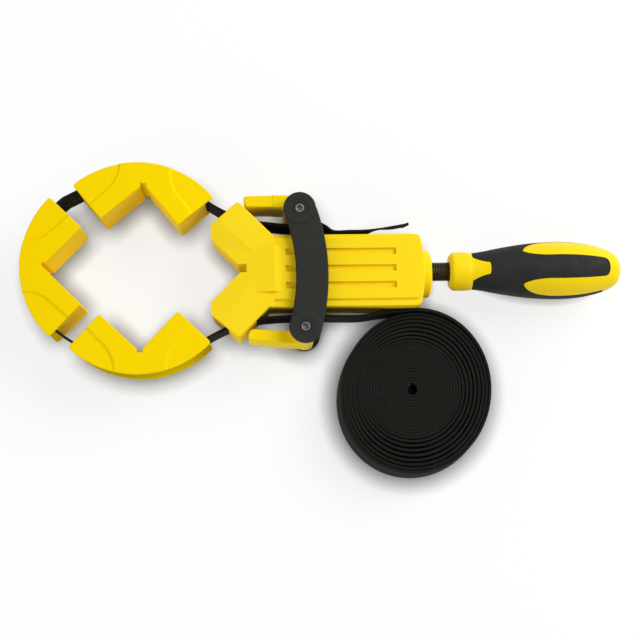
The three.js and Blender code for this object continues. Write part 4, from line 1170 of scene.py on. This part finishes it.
def add_lever(node, body, side):
    pivot = tilted(0, side * PIVOT_Y)
    place_turn = 0.0 if side > 0 else LOWER_TURN
    heel_half = LEVER_HALF + HEEL_RISE

    def set_out(points):
        if side < 0:
            points = mirror_y(points)
        return moved(turned(points, place_turn), *pivot)

    angles = [360 * (i + 0.5) / HUB_STEPS - 180 for i in range(HUB_STEPS)]
    hub = [polar(hub_radius(degrees), radians(degrees)) for degrees in angles]
    heel = [(0, LEVER_INNER), (0, HUB_OUTER), (-HEEL_REACH, LEVER_OUTER), (-HEEL_REACH, LEVER_INNER)]
    arm = rounded_outline([
        (-LEVER_INNER, LEVER_INNER, 0),
        (-LEVER_INNER, HUB_OUTER - LEVER_TAPER, 0),
        (-HEEL_REACH, LEVER_OUTER, 0),
        (-LEVER_REACH, LEVER_OUTER - LEVER_TAPER, LEVER_ROUND),
        (-LEVER_REACH, LEVER_INNER + LEVER_TAPER, LEVER_TIP_ROUND),
    ])
    piece = slab(node + "_shape", set_out(hub), BODY_LOW, BODY_HIGH)
    join(
        piece,
        slab("heel", set_out(heel), MID_Z - heel_half, MID_Z + heel_half, HEEL_EDGE, 3),
        slab("arm", set_out(arm), MID_Z - LEVER_HALF, MID_Z + LEVER_HALF, LEVER_EDGE, 3),
    )
    cut(piece, rod_z("bore", PIVOT_BORE, *pivot, -OVERRUN, PLATE_TOP + OVERRUN))
    soften(piece, width=0.35, angle=40)
    dress(piece, body, "yellow_lever", LEVER, node)


add_lever("cam_lever_upper", "lever_upper", 1)
add_lever("cam_lever_lower", "lever_lower", -1)


# Spindle: a left-hand thread from the shoulder to the handle

SPINDLE_RADIUS = 5.2
THREAD_PITCH = 1.5
THREAD_DEPTH = 0.45
THREAD_FLANK = 1.7
SHOULDER_X = 39.8
THREAD_START = 41.4
THREAD_END = 119.0
THREAD_ROWS = 6
SPINDLE_STEPS = 36
SPINDLE_END = 146.0
SPINDLE_ROOM = 0.3
# [place along the screw, radius]
JOURNAL = [(25, 0.1), (25, 3.2), (25.3, 3.5), (SHOULDER_X, 3.5), (SHOULDER_X, 4.4), (SHOULDER_X + 1, 4.45)]
SPINDLE_REAR = [(THREAD_END + 0.5, 5.2), (SPINDLE_END - 0.8, 5.2), (SPINDLE_END, 4.4), (SPINDLE_END, 0.1)]


def thread_radius(x, turn_share):
    phase = (x / THREAD_PITCH + turn_share) % 1.0
    flank = min(1.0, THREAD_FLANK * abs(2 * phase - 1))
    return SPINDLE_RADIUS - THREAD_DEPTH * (1 - flank * smooth(x, THREAD_START, THREAD_START + THREAD_PITCH))


def add_spindle():
    """The journal with its shoulder, the thread, and the plain shank inside the handle."""
    length = THREAD_END - THREAD_START
    rows = round(length / THREAD_PITCH * THREAD_ROWS)
    thread = []
    for row in range(rows + 1):
        x = THREAD_START + length * row / rows
        thread.append((x, [thread_radius(x, i / SPINDLE_STEPS) for i in range(SPINDLE_STEPS)]))
    piece = lathe("threaded_spindle", JOURNAL + thread + SPINDLE_REAR, SPINDLE_STEPS)
    shade(piece, angle=70)
    dress(piece, "handle", "dark_steel", THREAD, "spindle")


add_spindle()


# Handle

HANDLE_FRONT = 115.2
HANDLE_END = 210.5
GRIP_FRONT = 127.6
GRIP_END = 202.4
GRIP_THICKNESS = 2.4
UNROLL = 14.0
WINDOW_FRONT = 154.5
TOP_HALF = 5.9
SIDE_HALF = 4.8
WINDOW_TIP_HANDLE = 1.2
WINDOW_TIP_SHARE = 0.55
WINDOW_TIP_SHIFT = 1.8
TONGUE_ROUND = 2.4
TONGUE_END = 202.5
NOTCH_HALF = 4.2
NOTCH_MOUTH = 9.5
NOTCH_DEPTH = 9.5
NOTCH_ROUND = 0.9
NOTCH_BEND = (2.4, 0.3)
HANDLE_TIP = 0.6
# [share of the length, radius]
HANDLE_PROFILE = [
    (0, 8.6), (0.012, 10), (0.03, 10.6), (0.1, 10.6), (0.13, 10.15), (0.19, 10.9), (0.26, 12.2),
    (0.35, 13.7), (0.45, 15), (0.55, 15.7), (0.64, 15.9), (0.74, 15.3), (0.83, 13.8), (0.9, 11.9),
    (0.95, 9.6), (0.98, 7), (0.995, 3.8),
]


def handle_lathe(name, offset, low, high):
    length = HANDLE_END - HANDLE_FRONT
    curve = catmull([(HANDLE_FRONT + share * length, radius) for share, radius in HANDLE_PROFILE], 120)
    inside = [(x, radius + offset) for x, radius in curve if low < x < high]
    tip = inside[-1][1] if high < HANDLE_END else HANDLE_TIP
    start = (max(low, HANDLE_FRONT), inside[0][1])
    return lathe(name, [start] + inside + [(min(high, HANDLE_END), tip)], 96)


def wrapped(name, points):
    """An outline drawn on the unrolled handle, as a wedge from inside to outside of its surface."""
    vertices = []
    for radius in (SPINDLE_RADIUS, 2 * UNROLL):
        for x, across in points:
            angle = across / UNROLL
            vertices.append((x, radius * sin(angle), MID_Z + radius * cos(angle)))
    count = len(points)
    flat = bmesh.new()
    flat.faces.new([flat.verts.new((x, y, 0)) for x, y in points])
    flat.verts.index_update()
    parts = bmesh.ops.triangulate(flat, faces=flat.faces)["faces"]
    triangles = [tuple(v.index for v in part.verts) for part in parts]
    flat.free()
    faces = tube_faces(2, count)[:count]
    faces += [tuple(reversed(t)) for t in triangles]
    faces += [tuple(i + count for i in t) for t in triangles]
    return new_object(name, vertices, faces)


def window_outline(shrink):
    quarter = pi / 2 * UNROLL
    top = TOP_HALF + shrink
    side = quarter - SIDE_HALF - shrink
    rise = (TONGUE_END - WINDOW_FRONT) / 3
    end = HANDLE_END + OVERRUN
    past = TONGUE_ROUND / 2
    x = WINDOW_FRONT + shrink
    y = (top + side) / 2 - WINDOW_TIP_SHIFT
    tongue_x = TONGUE_END + shrink
    side_x = tongue_x - TONGUE_ROUND

    def edge(line):
        spread = y + (line - y) * WINDOW_TIP_SHARE
        return bezier([(x, y), (x + WINDOW_TIP_HANDLE, spread), (x + rise / 2, line), (x + rise, line)], 16)

    tongue = bezier([(TONGUE_END - TOP_HALF / 2, top), (tongue_x, top), (tongue_x, 0)], 12)
    side_end = bezier([(TONGUE_END - 2 * TONGUE_ROUND, side), (side_x, side), (side_x, quarter)], 8)
    beyond = [(tongue_x, -past), (end, -past), (end, quarter + past), (side_x, quarter + past)]
    return edge(top) + tongue + beyond + side_end[::-1] + edge(side)[::-1][:-1]


def notch_outline(shrink):
    front = GRIP_FRONT - OVERRUN
    mouth = NOTCH_MOUTH - shrink
    end = GRIP_FRONT + NOTCH_DEPTH - shrink
    half = NOTCH_HALF - shrink
    bend = (GRIP_FRONT + NOTCH_DEPTH / 3, half + (mouth - half) / 3)
    straight = (end - NOTCH_ROUND, half)
    side = bezier([(GRIP_FRONT, mouth), bend, (end - NOTCH_BEND[0], half + NOTCH_BEND[1]), straight], 14)
    nose = bezier([straight, (end, half), (end, 0)], 6)[1:]
    upper = [(front, mouth)] + side + nose
    return upper + mirror_y(upper[:-1])


def grip_tools(shrink):
    """The windows and notches of the grip, on both of its halves."""
    window = window_outline(shrink)
    outlines = [window, mirror_y(window), notch_outline(shrink)]
    turns = (0, pi * UNROLL)
    return [wrapped("window", moved(outline, 0, turn)) for outline in outlines for turn in turns]


def sleeve(name, gap):
    outer = handle_lathe(name, OVERRUN if gap else 0.0, GRIP_FRONT - gap, GRIP_END + gap)
    return cut(outer, handle_lathe("inner", -GRIP_THICKNESS - gap, GRIP_FRONT - OVERRUN, GRIP_END + OVERRUN))


def add_handle():
    seam = 0.1
    grip = cut(sleeve("grip_shape", 0.0), *grip_tools(-seam))
    core = handle_lathe("core_shape", 0.0, HANDLE_FRONT, HANDLE_END)
    cut(core, cut(sleeve("recess", 2 * seam), *grip_tools(seam)))
    bore_end = SPINDLE_END + SPINDLE_ROOM
    cut(core, rod_x("bore", SPINDLE_RADIUS + SPINDLE_ROOM, HANDLE_FRONT - OVERRUN, bore_end, 64))
    soften(grip, width=0.3, angle=45)
    soften(core, width=0.25, angle=45)
    dress(core, "handle", "yellow_handle", HANDLE, "handle_core")
    dress(grip, "handle", "soft_grip", GRIP, "handle_grip")


add_handle()


# Floor, light and finish

FLOOR_HALF = 3000.0
FLOOR_DROP = 0.2
FLOOR_GLOW_SHARE = 0.78
FLOOR_SHADE_REACH = 12.0
FLOOR_SHADE_POWER = 2.5
WORLD_STRENGTH = 0.48
# [name, place in metres, size in metres, power in watts], both aimed at the frame's origin
LAMPS = [
    ("key", (1.0, 0.6, 1.0), 1.1, 18.5),
    ("fill", (-0.9, -0.7, 0.5), 1.0, 4.0),
]


def add_floor():
    sides = ((-1, -1), (1, -1), (1, 1), (-1, 1))
    corners = [(ORIGIN_X + x * FLOOR_HALF, y * FLOOR_HALF, 0) for x, y in sides]
    floor = new_object("floor", corners, [(0, 1, 2, 3)])
    floor.location.z = -FLOOR_DROP * MM
    shader = Shader("pale floor", 0.95, Specular_IOR_Level=0.0)
    # white where the floor is open; in the narrow gaps between the pieces its glow is darkened by ambient
    # occlusion, as painted shade
    shade = shader.node("ShaderNodeAmbientOcclusion", {"Distance": FLOOR_SHADE_REACH * MM}, samples=8)
    glow_kept_by_painted_shade = shader.math("POWER", shade.outputs["AO"], FLOOR_SHADE_POWER)
    seen = shader.math("MULTIPLY", shader.seen_rays(), FLOOR_GLOW_SHARE)
    shader.set("Base Color", shader.blend(seen, (0.98, 0.98, 0.98, 1.0), (0.0, 0.0, 0.0, 1.0)))
    shader.set("Emission Color", WHITE)
    # the glow is kept only where the painted shade from ambient occlusion leaves it
    shader.set("Emission Strength", shader.math("MULTIPLY", seen, glow_kept_by_painted_shade))
    floor.data.materials.append(shader.material)


def add_light(name, place, size, power):
    data = configured(bpy.data.lights.new(name, "AREA"), shape="DISK", size=size, energy=power)
    turn = (-Vector(place)).to_track_quat("-Z", "Y").to_matrix()
    in_scene(name, data).matrix_world = Matrix.Translation(place) @ turn.to_4x4()


def add_world():
    world = bpy.data.worlds.new("world")
    bpy.context.scene.world = world
    world.use_nodes = True
    nodes = Nodes(world.node_tree, "Background")
    nodes.set("Color", WHITE)
    nodes.set("Strength", nodes.ramp(nodes.seen_rays(), WORLD_STRENGTH, 1.0, 0.0, 1.0))


add_floor()
add_world()
for lamp in LAMPS:
    add_light(*lamp)
bpy.context.scene.view_settings.view_transform = "Standard"
